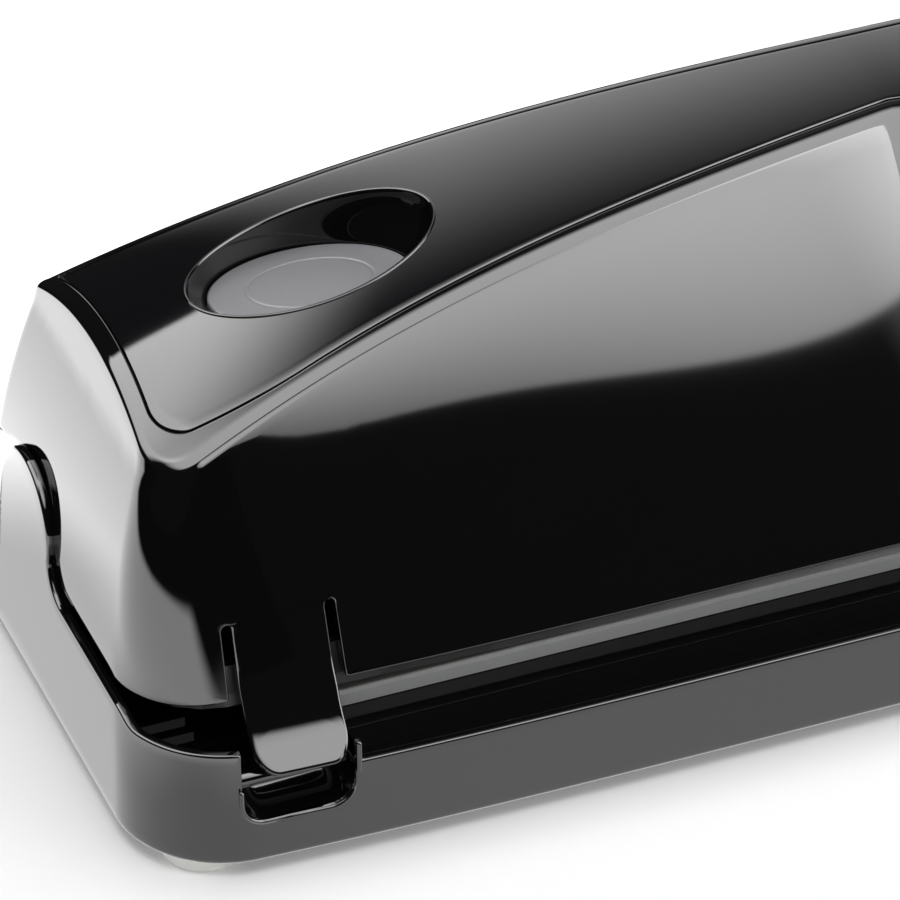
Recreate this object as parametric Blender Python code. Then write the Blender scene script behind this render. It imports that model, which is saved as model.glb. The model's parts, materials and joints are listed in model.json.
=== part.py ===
"""Bar type vacuum packing machine for kitchen bags, closed and not yet latched.

A thin tub stands on four feet. A thick lid, which holds the pump, the transformer
and the boards, swings on two pins in the ears of the tub. A flexing tab at each
front corner of the lid hooks under a catch bar in the tub. Two oval pads sit in
wells of the crescent panel on top of the lid.

Metres, +Z up, X along the machine, front towards -Y, origin on the table under
the middle of the tub.
"""
from math import acos, asin, atan2, cos, hypot, pi, radians, sin, sqrt

import bmesh
import bpy
from mathutils import Matrix, Vector

# Overall sizes
BASE_LENGTH = 0.400
BASE_DEPTH = 0.1185
FOOT_HEIGHT = 0.003
GAP = 0.0003
OVERRUN = 0.004
SHARP_ANGLE = radians(30.0)
FRONT = -BASE_DEPTH / 2
REAR = BASE_DEPTH / 2

# Tub
WALL = 0.0024
BASE_CORNER_RADIUS = 0.025
BASE_REAR_RADIUS = 0.012
BASE_BOW = 0.0023
SEAT = 0.0002
BASE_DRAFT_SHARE = 0.0276
BASE_EDGE = 0.0014
FRONT_STEPS = 7
FRONT_LIP = FOOT_HEIGHT + 0.0208
CORNER_LIP = FOOT_HEIGHT + 0.0285
SIDE_LIP = FOOT_HEIGHT + 0.0310
REAR_LIP = FOOT_HEIGHT + 0.0180
LIP_RISE_START = 0.0195
LIP_RISE_END = 0.0265

# Hinge
AXIS_Y = FRONT + 0.0850
AXIS_Z = FOOT_HEIGHT + 0.0410
EAR_RADIUS = 0.0150
EAR_CLEARANCE = 0.0020
EAR_FILLET_REACH = 0.0230
EAR_FILLET_RADIUS = 0.0085
EAR_FOOT = 0.0170
REAR_FILLET = 0.0050
PIN_RADIUS = 0.0030
PIN_CLEARANCE = 0.00010
EAR_SKIN = 0.0010
BOSS_RADIUS = 0.0075

# Lid
LID_RIM_Z = FOOT_HEIGHT + 0.0340
LID_HALF = 0.1974
LID_DRAFT_SHARE = 0.162
LID_FRONT = FRONT + 0.0125
LID_BOW = 0.0038
ARCH_CORNER_RADIUS = 0.0060
LID_CORNER_RADIUS = 0.0170
LID_WALL = 0.0030
CREASE_Y = FRONT + 0.0737
CREASE_Z = FOOT_HEIGHT + 0.1030
CREASE_SWEEP_SHARE = 0.25
CREASE_ROUND = 0.015
CREASE_CORNER_RADIUS = 0.009
CREASE_FILLET = 0.0035
FACE_BULGE = 0.0012
REAR_EDGE_Y = FRONT + 0.1035
REAR_EDGE_Z = FOOT_HEIGHT + 0.1070
REAR_EDGE_FILLET = 0.0030
LID_REAR = FRONT + 0.1105
LID_REAR_RIM_Z = FOOT_HEIGHT + 0.0460
ARCH_SQUARE = 0.0040
ARCH_CUBE = 0.0156
CROWN = 0.0085
CROWN_CHORD = 0.0720
END_FILLET = 0.0025
REAR_CORNER_RADIUS = 0.0040

# Panel, wells and pads
PANEL_THICKNESS = 0.0014
PANEL_SIDE_MARGIN = 0.0045
PANEL_FRONT_MARGIN = 0.0035
PANEL_REAR_MARGIN = 0.0040
PANEL_CORNER_RADIUS = 0.0060
SEAM = 0.0004
WELL_X = 0.1375
WELL_Y = FRONT + 0.0695
WELL_HALF_LENGTH = 0.0320
WELL_HALF_WIDTH = 0.0167
WELL_TURN = radians(13.0)
WELL_WALL = 0.0016
WELL_BEVEL = 0.0011
PAD_HALF_LENGTH = 0.0262
PAD_HALF_WIDTH = 0.0128
PAD_Z = FOOT_HEIGHT + 0.0965
PAD_THICKNESS = 0.0030
PAD_CROWN = 0.0006
PAD_TRAVEL = 0.0015
PAD_GAP = 0.0004
LENS_RADIUS = 0.0022
LENS_X = 0.0880
LENS_SPACING = 0.0110
LENS_Y = FRONT + 0.0790

# Latch tabs, catch bars and pockets
TAB_X = 0.1660
TAB_HALF_WIDTH = 0.0106
TAB_SLOT = 0.0023
TAB_TOP_Z = FOOT_HEIGHT + 0.0490
TAB_THICKNESS = 0.0018
TAB_LOW_Z = FOOT_HEIGHT + 0.0213
TAB_STEPS = ((0.0251, -0.0079), (0.0287, -0.0050), (0.0315, -0.0033))
TAB_REACH = 0.0117
TAB_CORNER_RADIUS = 0.0048
TAB_HOOK_DEPTH = 0.0046
TAB_HOOK_HEIGHT = 0.0026
TAB_HOOK_HALF_WIDTH = 0.0085
TAB_ROOM = 0.0004
BAR_Y = FRONT + 0.0083
BAR_Z = FOOT_HEIGHT + 0.0183
BAR_RADIUS = 0.0017
POCKET_HALF_WIDTH = 0.0132
POCKET_X = 0.1678
POCKET_LOW_Z = FOOT_HEIGHT + 0.0105
POCKET_CORNER_RADIUS = 0.0055
POCKET_DEPTH = 0.0150
POCKET_FLOOR_RISE = 0.0030
LIP_END = POCKET_X - POCKET_HALF_WIDTH - 0.0018

# Deck and seals
DECK_Z = FOOT_HEIGHT + 0.0195
DECK_THICKNESS = 0.0022
DECK_END_Z = FOOT_HEIGHT + 0.0215
DECK_END_X = 0.1600
DECK_STEP_Y = FRONT + 0.0715
DECK_REAR_Z = FOOT_HEIGHT + 0.0150
RIB_LENGTH = 0.0100
RIB_WIDTH = 0.0012
RIB_HEIGHT = 0.0012
RIB_X = 0.1885
RIB_Y = FRONT + 0.0221
RIB_SPACING = 0.0054
DECK_EDGE_WALL = 0.0022
STAND_RADIUS = 0.0045
STAND_X = 0.1250
STAND_FRONT_Y = FRONT + 0.0360
STAND_REAR_Y = FRONT + 0.0900
TROUGH_HALF_LENGTH = 0.1450
TROUGH_HALF_WIDTH = 0.0050
TROUGH_DEPTH = 0.0060
SEAL_Y = FRONT + 0.0480
GASKET_HALF_LENGTH = 0.1560
GASKET_HALF_WIDTH = 0.0125
GASKET_WIDTH = 0.0050
GASKET_MEET_Z = FOOT_HEIGHT + 0.0250
PRESS_HALF_LENGTH = 0.1545
PRESS_Y = FRONT + 0.0255
PRESS_HALF_WIDTH = 0.0034
PRESS_TOP_Z = FOOT_HEIGHT + 0.0244
TAPE_THICKNESS = 0.0004
TAPE_HALF_WIDTH = 0.0044
HEATER_HALF_WIDTH = 0.0020
HEATER_THICKNESS = 0.0004
SEAL_BAR_HALF_WIDTH = 0.0040

# Chamber plate under the lid
PLATE_Z = FOOT_HEIGHT + 0.0305
PLATE_THICKNESS = 0.0022
PLATE_FLANGE = 0.0090
PLATE_ROOM = 0.0005
PLATE_FLANGE_WALL = 0.0018
BARREL_RADIUS = 0.0230
BARREL_JOIN = 0.0190
CHEEK_THICKNESS = 0.0030

# Feet
FOOT_RADIUS = 0.0095
FOOT_X = 0.1845
FOOT_INSET = 0.0150
FOOT_LIP = 0.0014

# Pump
UNIT_Y = FRONT + 0.0780
UNIT_FLOOR = AXIS_Z
SADDLE_WIDTH = 0.0040
SADDLE_END = radians(30.0)
MOTOR_RADIUS = 0.0155
MOTOR_LENGTH = 0.0560
MOTOR_X = -0.0560
MOTOR_Z = AXIS_Z + 0.0090
MOTOR_CAP_RADIUS = 0.0120
MOTOR_CAP_LENGTH = 0.0030
MOTOR_HUB_RADIUS = 0.0050
MOTOR_HUB_LENGTH = 0.0060
MOTOR_SADDLE_DROP = 0.0040
HEAD_LENGTH = 0.0340
HEAD_HALF_DEPTH = 0.0180
HEAD_HEIGHT = 0.0290
HEAD_RADIUS = 0.0050
CYLINDER_RADIUS = 0.0110
CYLINDER_HEIGHT = 0.0120
FIN_RADIUS = 0.0125
FIN_THICKNESS = 0.0012
FIN_PITCH = 0.0032
PUMP_FINS = 3
NOZZLE_RADIUS = 0.0023
NOZZLE_LENGTH = 0.0080
NOZZLE_Z = UNIT_FLOOR + 0.0200
VALVE_RADIUS = 0.0085
VALVE_HEIGHT = 0.0180
VALVE_CAP_RADIUS = 0.0100
VALVE_CAP_HEIGHT = 0.0030
VALVE_X = 0.0360
VALVE_Y = FRONT + 0.0520
HOSE_RADIUS = 0.0035
HOSE_BORE = 0.0025
HOSE_OVERLAP = 0.0060
HOSE_SWEEP = 0.0300
HOSE_SIDES = 8

# Transformer
CORE_X = 0.0950
CORE_HALF_LENGTH = 0.0260
CORE_HALF_DEPTH = 0.0130
CORE_HEIGHT = 0.0440
CORE_LEG = 0.0080
CORE_WINDOW = 0.0100
COIL_HALF_DEPTH = 0.0205

# Boards
BOARD_X = -0.1080
BOARD_Y = FRONT + 0.0440
BOARD_HALF_LENGTH = 0.0400
BOARD_HALF_DEPTH = 0.0165
BOARD_THICKNESS = 0.0016
POST_HEIGHT = 0.0060
POST_RADIUS = 0.0028
POST_INSET = 0.0045
CAN_RADIUS = 0.0050
CAN_HEIGHT = 0.0160
RELAY_SIZE = (0.0160, 0.0120, 0.0130)
SINK_SIZE = (0.0020, 0.0200, 0.0180)
SINK_PITCH = 0.0045
SWITCH_BOARD_HALF_LENGTH = 0.0310
SWITCH_BOARD_HALF_DEPTH = 0.0065
SWITCH_HALF = 0.0031
SWITCH_HEIGHT = 0.0035
SWITCH_STEM_RADIUS = 0.0016
SWITCH_STEM_HEIGHT = 0.0010
SWITCH_POST_RADIUS = 0.0020

# Mains inlet in the rear wall of the lid
INLET_X = 0.1400
INLET_Z = FOOT_HEIGHT + 0.0680
INLET_HALF_WIDTH = 0.0085
INLET_HALF_HEIGHT = 0.0046
INLET_WALL = 0.0018
INLET_DEPTH = 0.0150
INLET_RADIUS = 0.0042
INLET_FLANGE = 0.0026
INLET_FLANGE_THICKNESS = 0.0012
INLET_PIN_X = 0.0043
INLET_PIN_RADIUS = 0.0012
INLET_PIN_LENGTH = 0.0090

SIDES = (("left", -1), ("right", 1))


def remove_everything():
    for item in list(bpy.data.objects):
        bpy.data.objects.remove(item, do_unlink=True)


def finish(name, color, roughness, metallic=0.0):
    """One Principled material per kind of surface."""
    found = bpy.data.materials.get(name)
    if found:
        return found
    made = bpy.data.materials.new(name)
    made.use_nodes = True
    shader = made.node_tree.nodes["Principled BSDF"]
    shader.inputs["Base Color"].default_value = (*color, 1.0)
    shader.inputs["Roughness"].default_value = roughness
    shader.inputs["Metallic"].default_value = metallic
    return made


def black_gloss():
    return finish("piano_black_abs", (0.010, 0.010, 0.011), 0.06)


def black_matt():
    return finish("black_moulding", (0.020, 0.020, 0.021), 0.35)


def pad_grey():
    return finish("satin_grey_pad", (0.17, 0.17, 0.18), 0.45)


def rubber_grey():
    return finish("grey_silicone", (0.30, 0.30, 0.30), 0.7)


def foot_white():
    return finish("pale_rubber", (0.62, 0.62, 0.60), 0.6)


def steel():
    return finish("zinc_steel", (0.55, 0.55, 0.56), 0.3, 1.0)


def copper():
    return finish("enamelled_copper", (0.55, 0.20, 0.07), 0.35, 0.9)


def board_green():
    return finish("circuit_laminate", (0.03, 0.16, 0.06), 0.5)


def solid(name, points, faces, look):
    """A closed mesh object in world coordinates with outward faces."""
    mesh = bpy.data.meshes.new(name)
    mesh.from_pydata([tuple(p) for p in points], [], faces)
    work = bmesh.new()
    work.from_mesh(mesh)
    bmesh.ops.recalc_face_normals(work, faces=work.faces)
    for face in work.faces:
        face.smooth = True
    for edge in work.edges:
        edge.smooth = edge.calc_face_angle(pi) < SHARP_ANGLE
    work.to_mesh(mesh)
    work.free()
    item = bpy.data.objects.new(name, mesh)
    bpy.context.scene.collection.objects.link(item)
    if look:
        mesh.materials.append(look)
    return item


def loft(name, rings, look):
    """Closed rings of equal count, joined in order and capped at both ends."""
    count = len(rings[0])
    points = [p for ring in rings for p in ring]
    faces = []
    for level in range(len(rings) - 1):
        low = level * count
        for i in range(count):
            j = (i + 1) % count
            faces.append((low + i, low + j, low + count + j, low + count + i))
    faces.append(tuple(range(count)))
    faces.append(tuple(range(len(points) - count, len(points))))
    return solid(name, points, faces, look)


def sheet_solid(name, top, bottom, look):
    """A solid between two grids of points of equal shape."""
    rows, columns = len(top), len(top[0])
    points = [p for row in top for p in row] + [p for row in bottom for p in row]
    half = rows * columns

    def index(r, c, layer):
        return layer * half + r * columns + c

    faces = []
    for r in range(rows - 1):
        for c in range(columns - 1):
            for layer in (0, 1):
                faces.append((index(r, c, layer), index(r, c + 1, layer),
                              index(r + 1, c + 1, layer), index(r + 1, c, layer)))
    edge = [(r, 0) for r in range(rows)] + [(rows - 1, c) for c in range(1, columns)]
    edge += [(r, columns - 1) for r in range(rows - 2, -1, -1)]
    edge += [(0, c) for c in range(columns - 2, 0, -1)]
    for a, b in zip(edge, edge[1:] + edge[:1]):
        faces.append((index(*a, 0), index(*b, 0), index(*b, 1), index(*a, 1)))
    return solid(name, points, faces, look)


def prism(name, outline, axis, low, high, look):
    """An outline drawn in the two other axes, carried from low to high on one axis."""
    def place(pair, level):
        values = list(pair)
        values.insert(axis, level)
        return values
    return loft(name, [[place(p, low) for p in outline], [place(p, high) for p in outline]], look)


def box(name, low, high, look=None):
    outline = [(low[0], low[1]), (high[0], low[1]), (high[0], high[1]), (low[0], high[1])]
    return prism(name, outline, 2, low[2], high[2], look)


def circle(centre, radius, count, start=0.0):
    return [(centre[0] + radius * cos(start + 2 * pi * i / count),
             centre[1] + radius * sin(start + 2 * pi * i / count)) for i in range(count)]


def arc(centre, radius, first, last, steps):
    return [(centre[0] + radius * cos(first + (last - first) * i / steps),
             centre[1] + radius * sin(first + (last - first) * i / steps)) for i in range(steps + 1)]


def rod(name, start, axis, length, radius, look, count=20):
    """A round rod from start along one axis."""
    others = [start[i] for i in range(3) if i != axis]
    return prism(name, circle(others, radius, count), axis, start[axis], start[axis] + length, look)


def rounded_rectangle(low, high, radius, steps=4):
    points = arc((high[0] - radius, high[1] - radius), radius, 0.0, pi / 2, steps)
    points += arc((low[0] + radius, high[1] - radius), radius, pi / 2, pi, steps)
    points += arc((low[0] + radius, low[1] + radius), radius, pi, 3 * pi / 2, steps)
    points += arc((high[0] - radius, low[1] + radius), radius, 3 * pi / 2, 2 * pi, steps)
    return points


def ellipse(centre, half_length, half_width, turn, count):
    points = []
    for i in range(count):
        along = half_length * cos(2 * pi * i / count)
        across = half_width * sin(2 * pi * i / count)
        points.append((centre[0] + along * cos(turn) - across * sin(turn),
                       centre[1] + along * sin(turn) + across * cos(turn)))
    return points


def tool(item):
    item.hide_render = True
    item.display_type = "WIRE"
    return item


def combine(target, other, operation):
    tool(other)
    change = target.modifiers.new(other.name, "BOOLEAN")
    change.operation = operation
    change.solver = "EXACT"
    change.object = other
    return target


def carve(target, other):
    return combine(target, other, "DIFFERENCE")


def fuse(target, other):
    return combine(target, other, "UNION")


def keep(target, other):
    return combine(target, other, "INTERSECT")


def pivot(item, point):
    """Moves the origin of a moving piece to its joint."""
    item.data.transform(Matrix.Translation(-Vector(point)))
    item.location = Vector(point)
    return item


def corner(distance, radius):
    """Inset of a rounded corner at a distance from the end plane."""
    reach = max(0.0, min(radius, radius - distance))
    return radius - sqrt(max(0.0, radius * radius - reach * reach))


# Tub outline

def tub_outline(inset, z, steps=6):
    """Plan of the tub at a height: drafted walls, round corners, bowed front."""
    draft = BASE_DRAFT_SHARE * (z - FOOT_HEIGHT) + inset
    half = BASE_LENGTH / 2 - draft
    front, rear = FRONT + draft, REAR - draft
    radius, back = BASE_CORNER_RADIUS - inset, BASE_REAR_RADIUS - inset
    points = []
    flat = half - radius
    count = 2 * FRONT_STEPS
    for i in range(count + 1):
        share = -1 + 2 * i / count
        points.append((share * flat, front + BASE_BOW * share ** 4))
    points += arc((flat, front + BASE_BOW + radius), radius, -pi / 2, 0.0, steps)[1:]
    points += arc((half - back, rear - back), back, 0.0, pi / 2, steps)
    points += arc((back - half, rear - back), back, pi / 2, pi, steps)
    points += arc((-flat, front + BASE_BOW + radius), radius, pi, 3 * pi / 2, steps)[:-1]
    return points


def tub_rings(inset, levels):
    return [[(x, y, z) for x, y in tub_outline(inset + extra, z)] for z, extra in levels]


def side_profile():
    """Side view of the tub walls: low lips, a concave rise and the round ear."""
    low = FOOT_HEIGHT - OVERRUN
    rear_foot = AXIS_Y + EAR_FOOT
    centre = (AXIS_Y - EAR_FILLET_REACH, SIDE_LIP + EAR_FILLET_RADIUS)
    away = hypot(EAR_FILLET_REACH, AXIS_Z - centre[1])
    slope = atan2(AXIS_Z - centre[1], EAR_FILLET_REACH)
    near = (away ** 2 + EAR_FILLET_RADIUS ** 2 - EAR_RADIUS ** 2) / (2 * away)
    far = away - near
    fillet_end = slope - acos(near / EAR_FILLET_RADIUS)
    ear_start = pi + slope + acos(far / EAR_RADIUS)
    points = [(FRONT - OVERRUN, low), (FRONT - OVERRUN, CORNER_LIP)]
    points += [(FRONT + LIP_RISE_START, CORNER_LIP), (FRONT + LIP_RISE_END, SIDE_LIP)]
    points += arc(centre, EAR_FILLET_RADIUS, -pi / 2, fillet_end, 6)
    points += arc((AXIS_Y, AXIS_Z), EAR_RADIUS, ear_start, 0.0, 16)[1:]
    points += arc((rear_foot + REAR_FILLET, REAR_LIP + REAR_FILLET), REAR_FILLET, pi, 3 * pi / 2, 4)
    points += [(REAR + OVERRUN, REAR_LIP), (REAR + OVERRUN, low)]
    return points


def pocket_tool(side, name):
    """Round cornered pocket, open at the top, whose floor rises to the back."""
    front = FRONT - OVERRUN
    back = FRONT + POCKET_DEPTH
    rings = []
    for y, rise in ((front, 0.0), (back, POCKET_FLOOR_RISE)):
        low = (side * POCKET_X - POCKET_HALF_WIDTH, POCKET_LOW_Z + rise)
        high = (side * POCKET_X + POCKET_HALF_WIDTH, CORNER_LIP + 2 * POCKET_CORNER_RADIUS)
        rings.append([(x, y, z) for x, z in rounded_rectangle(low, high, POCKET_CORNER_RADIUS)])
    return loft(name, rings, None)


def make_base_shell():
    top = AXIS_Z + EAR_RADIUS + OVERRUN
    levels = ((FOOT_HEIGHT, BASE_EDGE), (FOOT_HEIGHT + BASE_EDGE, 0.0), (top, 0.0))
    shell = loft("base_shell", tub_rings(0.0, levels), black_gloss())
    hollow = loft("tub_hollow", tub_rings(WALL, ((FOOT_HEIGHT + WALL, 0.0), (top + OVERRUN, 0.0))), None)
    carve(shell, hollow)
    keep(shell, prism("side_profile", side_profile(), 0, -BASE_LENGTH, BASE_LENGTH, None))
    low = (-LIP_END, FRONT - OVERRUN, FRONT_LIP)
    high = (LIP_END, FRONT + POCKET_DEPTH, CORNER_LIP + OVERRUN)
    carve(shell, box("front_lip_cut", low, high))
    for word, side in SIDES:
        half = POCKET_HALF_WIDTH + WALL
        low = (side * POCKET_X - half, FRONT + WALL / 2, FOOT_HEIGHT + WALL / 2)
        high = (side * POCKET_X + half, FRONT + POCKET_DEPTH + WALL, DECK_END_Z - DECK_THICKNESS)
        block = box("pocket_block_" + word, low, high)
        keep(block, loft("pocket_bound_" + word, tub_rings(WALL / 2, ((FOOT_HEIGHT, 0.0), (top, 0.0))), None))
        fuse(shell, block)
        carve(shell, pocket_tool(side, "pocket_cut_" + word))
        inner = ear_inner()
        boss = barrel_half() + 2 * GAP
        fuse(shell, rod("ear_boss_" + word, (side * boss, AXIS_Y, AXIS_Z), 0,
                        side * (inner + WALL / 2 - boss), BOSS_RADIUS, None))
        bore = boss - OVERRUN
        carve(shell, rod("ear_bore_" + word, (side * bore, AXIS_Y, AXIS_Z), 0,
                         side * (inner + WALL - EAR_SKIN - bore), PIN_RADIUS + PIN_CLEARANCE, None))
        for step in (-1, 1):
            y = step * (BASE_DEPTH / 2 - FOOT_INSET)
            seat = rod("foot_seat_" + word + str(step), (side * FOOT_X, y, FOOT_HEIGHT - OVERRUN), 2,
                       OVERRUN + FOOT_LIP - GAP, FOOT_RADIUS + GAP, None)
            carve(shell, seat)
    for name, x, y, top in stands():
        fuse(shell, rod(name, (x, y, FOOT_HEIGHT + WALL / 2), 2, top - FOOT_HEIGHT - WALL / 2,
                        STAND_RADIUS, None))
    return shell


def stands():
    """Posts of the tub floor under the deck: name, place and height."""
    found = []
    for number, x in enumerate((-STAND_X, 0.0, STAND_X)):
        found.append(("stand_front_" + str(number), x, STAND_FRONT_Y, DECK_Z - DECK_THICKNESS - SEAT))
        found.append(("stand_rear_" + str(number), x, STAND_REAR_Y, DECK_REAR_Z - DECK_THICKNESS - SEAT))
    return found


def ear_inner():
    return BASE_LENGTH / 2 - BASE_DRAFT_SHARE * (AXIS_Z - FOOT_HEIGHT) - WALL


def barrel_half():
    """Half length of the chamber plate's barrel, inside the lid's side walls."""
    return lid_half(LID_REAR_RIM_Z) - LID_WALL - GAP


def make_base_deck():
    """Inner deck: raised ends with ribs, a trough for the vacuum and a low rear floor."""
    low, high = DECK_REAR_Z - DECK_THICKNESS, DECK_END_Z
    outline = tub_outline(WALL + GAP, DECK_END_Z)
    deck = prism("base_deck", outline, 2, low, high, black_gloss())
    cut_front = FRONT - OVERRUN
    carve(deck, box("deck_middle_cut", (-DECK_END_X, cut_front, DECK_Z), (DECK_END_X, REAR, high + OVERRUN)))
    carve(deck, box("deck_rear_cut", (-BASE_LENGTH, DECK_STEP_Y, DECK_REAR_Z), (BASE_LENGTH, REAR, high + OVERRUN)))
    under_low = low - OVERRUN
    wall = WALL + DECK_EDGE_WALL
    step_in = DECK_STEP_Y - DECK_THICKNESS
    carve(deck, box("deck_under_middle", (-DECK_END_X + DECK_THICKNESS, FRONT + wall + BASE_BOW, under_low),
                    (DECK_END_X - DECK_THICKNESS, step_in, DECK_Z - DECK_THICKNESS)))
    trough = trough_outline(TROUGH_HALF_LENGTH + DECK_THICKNESS, TROUGH_HALF_WIDTH + DECK_THICKNESS)
    fuse(deck, prism("trough_body", trough, 2, DECK_Z - TROUGH_DEPTH - DECK_THICKNESS, DECK_Z - GAP, None))
    trough = trough_outline(TROUGH_HALF_LENGTH, TROUGH_HALF_WIDTH)
    carve(deck, prism("trough_cut", trough, 2, DECK_Z - TROUGH_DEPTH, DECK_Z + OVERRUN, None))
    for word, side in SIDES:
        half = POCKET_HALF_WIDTH + WALL + GAP
        back = FRONT + POCKET_DEPTH + WALL + GAP
        ends = sorted((side * (DECK_END_X + DECK_THICKNESS), side * (BASE_LENGTH / 2 - 2 * wall)))
        carve(deck, box("deck_under_" + word, (ends[0], back + GAP, under_low),
                        (ends[1], step_in, DECK_END_Z - DECK_THICKNESS)))
        carve(deck, box("deck_pocket_" + word, (side * POCKET_X - half, FRONT - OVERRUN, under_low),
                        (side * POCKET_X + half, back, high + OVERRUN)))
        for number in range(2):
            y = RIB_Y + number * RIB_SPACING
            rib_low = (side * RIB_X - RIB_LENGTH / 2, y, DECK_END_Z - RIB_HEIGHT)
            rib_high = (side * RIB_X + RIB_LENGTH / 2, y + RIB_WIDTH, DECK_END_Z + RIB_HEIGHT)
            fuse(deck, box("deck_rib_" + word + str(number), rib_low, rib_high))
    return deck


def trough_outline(half_length, half_width, steps=6):
    centre = half_length - half_width
    points = arc((centre, SEAL_Y), half_width, -pi / 2, pi / 2, steps)
    points += arc((-centre, SEAL_Y), half_width, pi / 2, 3 * pi / 2, steps)
    return points


def make_gasket(name, low, high):
    """A foam ring round the vacuum trough."""
    ring = prism(name, trough_outline(GASKET_HALF_LENGTH, GASKET_HALF_WIDTH), 2, low, high, rubber_grey())
    inner = trough_outline(GASKET_HALF_LENGTH - GASKET_WIDTH, GASKET_HALF_WIDTH - GASKET_WIDTH)
    carve(ring, prism(name + "_bore", inner, 2, low - OVERRUN, high + OVERRUN, None))
    return ring


def make_catch_bar(word, side):
    start = side * POCKET_X - POCKET_HALF_WIDTH + GAP
    return rod("catch_bar_" + word, (start, BAR_Y, BAR_Z), 0,
               2 * (POCKET_HALF_WIDTH - GAP), BAR_RADIUS, black_matt(), 16)


def make_foot(name, side, step):
    y = step * (BASE_DEPTH / 2 - FOOT_INSET)
    rings = []
    shape = ((0.0, FOOT_RADIUS - FOOT_LIP), (FOOT_LIP / 2, FOOT_RADIUS - GAP),
             (FOOT_HEIGHT + FOOT_LIP - 2 * GAP, FOOT_RADIUS - GAP))
    for z, radius in shape:
        rings.append([(x, yy, z) for x, yy in circle((side * FOOT_X, y), radius, 24)])
    return loft(name, rings, foot_white())


# Lid surface

def arch(share):
    return ARCH_SQUARE * share ** 2 + ARCH_CUBE * abs(share) ** 3


def lid_half(z, inset=0.0):
    return LID_HALF - inset - LID_DRAFT_SHARE * (z - LID_RIM_Z)


def crease_y(share):
    return CREASE_Y - CREASE_SWEEP_SHARE * (hypot(share * LID_HALF, CREASE_ROUND) - CREASE_ROUND)


def end_distance(share):
    return (1 - abs(share)) * LID_HALF


def top_height(share, y):
    """Height of the top: a line from crease to rear edge, crowned, dropped by the arch."""
    front = crease_y(share)
    along = (y - front) / (REAR_EDGE_Y - front)
    crown = CROWN * ((REAR_EDGE_Y - front) / CROWN_CHORD) ** 2
    line = CREASE_Z + (REAR_EDGE_Z - CREASE_Z) * along
    return line + crown * 4 * along * (1 - along) - arch(share) - corner(end_distance(share), END_FILLET)


def face_point(share, rise):
    """Front face at a share of its rise from the rim to the crease."""
    end = end_distance(share)
    low = LID_FRONT + LID_BOW * share ** 4 + corner(end, LID_CORNER_RADIUS)
    high = crease_y(share) + corner(end, CREASE_CORNER_RADIUS)
    top = CREASE_Z - arch(share) - corner(end, END_FILLET)
    y = low + (high - low) * rise - FACE_BULGE * 4 * rise * (1 - rise)
    return y, LID_RIM_Z + (top - LID_RIM_Z) * rise


def soften(before, at, after):
    """Three points that round a corner by a quadratic curve."""
    middle = tuple((before[i] + 2 * at[i] + after[i]) / 4 for i in range(2))
    return [before, middle, after]


def lid_profile(share, inset, low, face_steps, top_steps):
    """Section of the lid at a share of its length, from the front rim over the top."""
    side_y = corner(end_distance(share), REAR_CORNER_RADIUS)
    front = crease_y(share) + corner(end_distance(share), CREASE_CORNER_RADIUS)
    rear = REAR_EDGE_Y - side_y
    back = LID_REAR - side_y
    crease = face_point(share, 1.0)
    rise = crease[1] - LID_RIM_Z
    stop = 1 - CREASE_FILLET / rise
    points = [face_point(share, (low - LID_RIM_Z) / rise)] if low < LID_RIM_Z else []
    points += [face_point(share, stop * i / face_steps) for i in range(face_steps)]
    first, last = front + CREASE_FILLET, rear - REAR_EDGE_FILLET
    points += soften(face_point(share, stop), crease, (first, top_height(share, first)))
    for i in range(1, top_steps):
        y = first + (last - first) * i / top_steps
        points.append((y, top_height(share, y)))
    edge = (rear, top_height(share, rear))
    lean = (back - rear) / (edge[1] - LID_RIM_Z)
    points += soften((last, top_height(share, last)), edge,
                     (rear + lean * REAR_EDGE_FILLET, edge[1] - REAR_EDGE_FILLET))
    middle = (LID_RIM_Z + edge[1]) / 2
    points += [((rear + back) / 2, middle), (back, LID_RIM_Z)]
    if low < LID_RIM_Z:
        points.append((back, low))
    return offset(points, inset) if inset else points


def offset(points, distance):
    """An open outline moved square to itself, to the right of its run."""
    moved = []
    for i, (y, z) in enumerate(points):
        before, after = points[max(i - 1, 0)], points[min(i + 1, len(points) - 1)]
        along = hypot(after[0] - before[0], after[1] - before[1])
        moved.append((y + distance * (after[1] - before[1]) / along, z - distance * (after[0] - before[0]) / along))
    return moved


def stations(steps, corner_steps):
    """Shares of the half length, close together at the rounded ends."""
    reach = LID_CORNER_RADIUS / LID_HALF
    ends = [1 - reach * (1 - sin(pi / 2 * i / corner_steps)) for i in range(corner_steps + 1)]
    flat = [(1 - reach) * i / steps for i in range(steps)]
    half = flat + ends
    return [-s for s in reversed(half[1:])] + half


def lid_solid(name, inset, low, steps, corner_steps, face_steps, top_steps, look):
    rings = []
    for share in stations(steps, corner_steps):
        ring = lid_profile(share, inset, low, face_steps, top_steps)
        rings.append([(share * lid_half(z, inset), y, z) for y, z in ring])
    return loft(name, rings, look)


def panel_edge(share, clearance):
    """Front and rear limits of the panel at a share of the lid's length."""
    limit = 1 - (PANEL_SIDE_MARGIN - clearance) / LID_HALF
    end = (limit - abs(share)) * LID_HALF
    rounding = corner(end, PANEL_CORNER_RADIUS)
    front = crease_y(share) + PANEL_FRONT_MARGIN - clearance + rounding
    return front, REAR_EDGE_Y - PANEL_REAR_MARGIN + clearance


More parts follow.
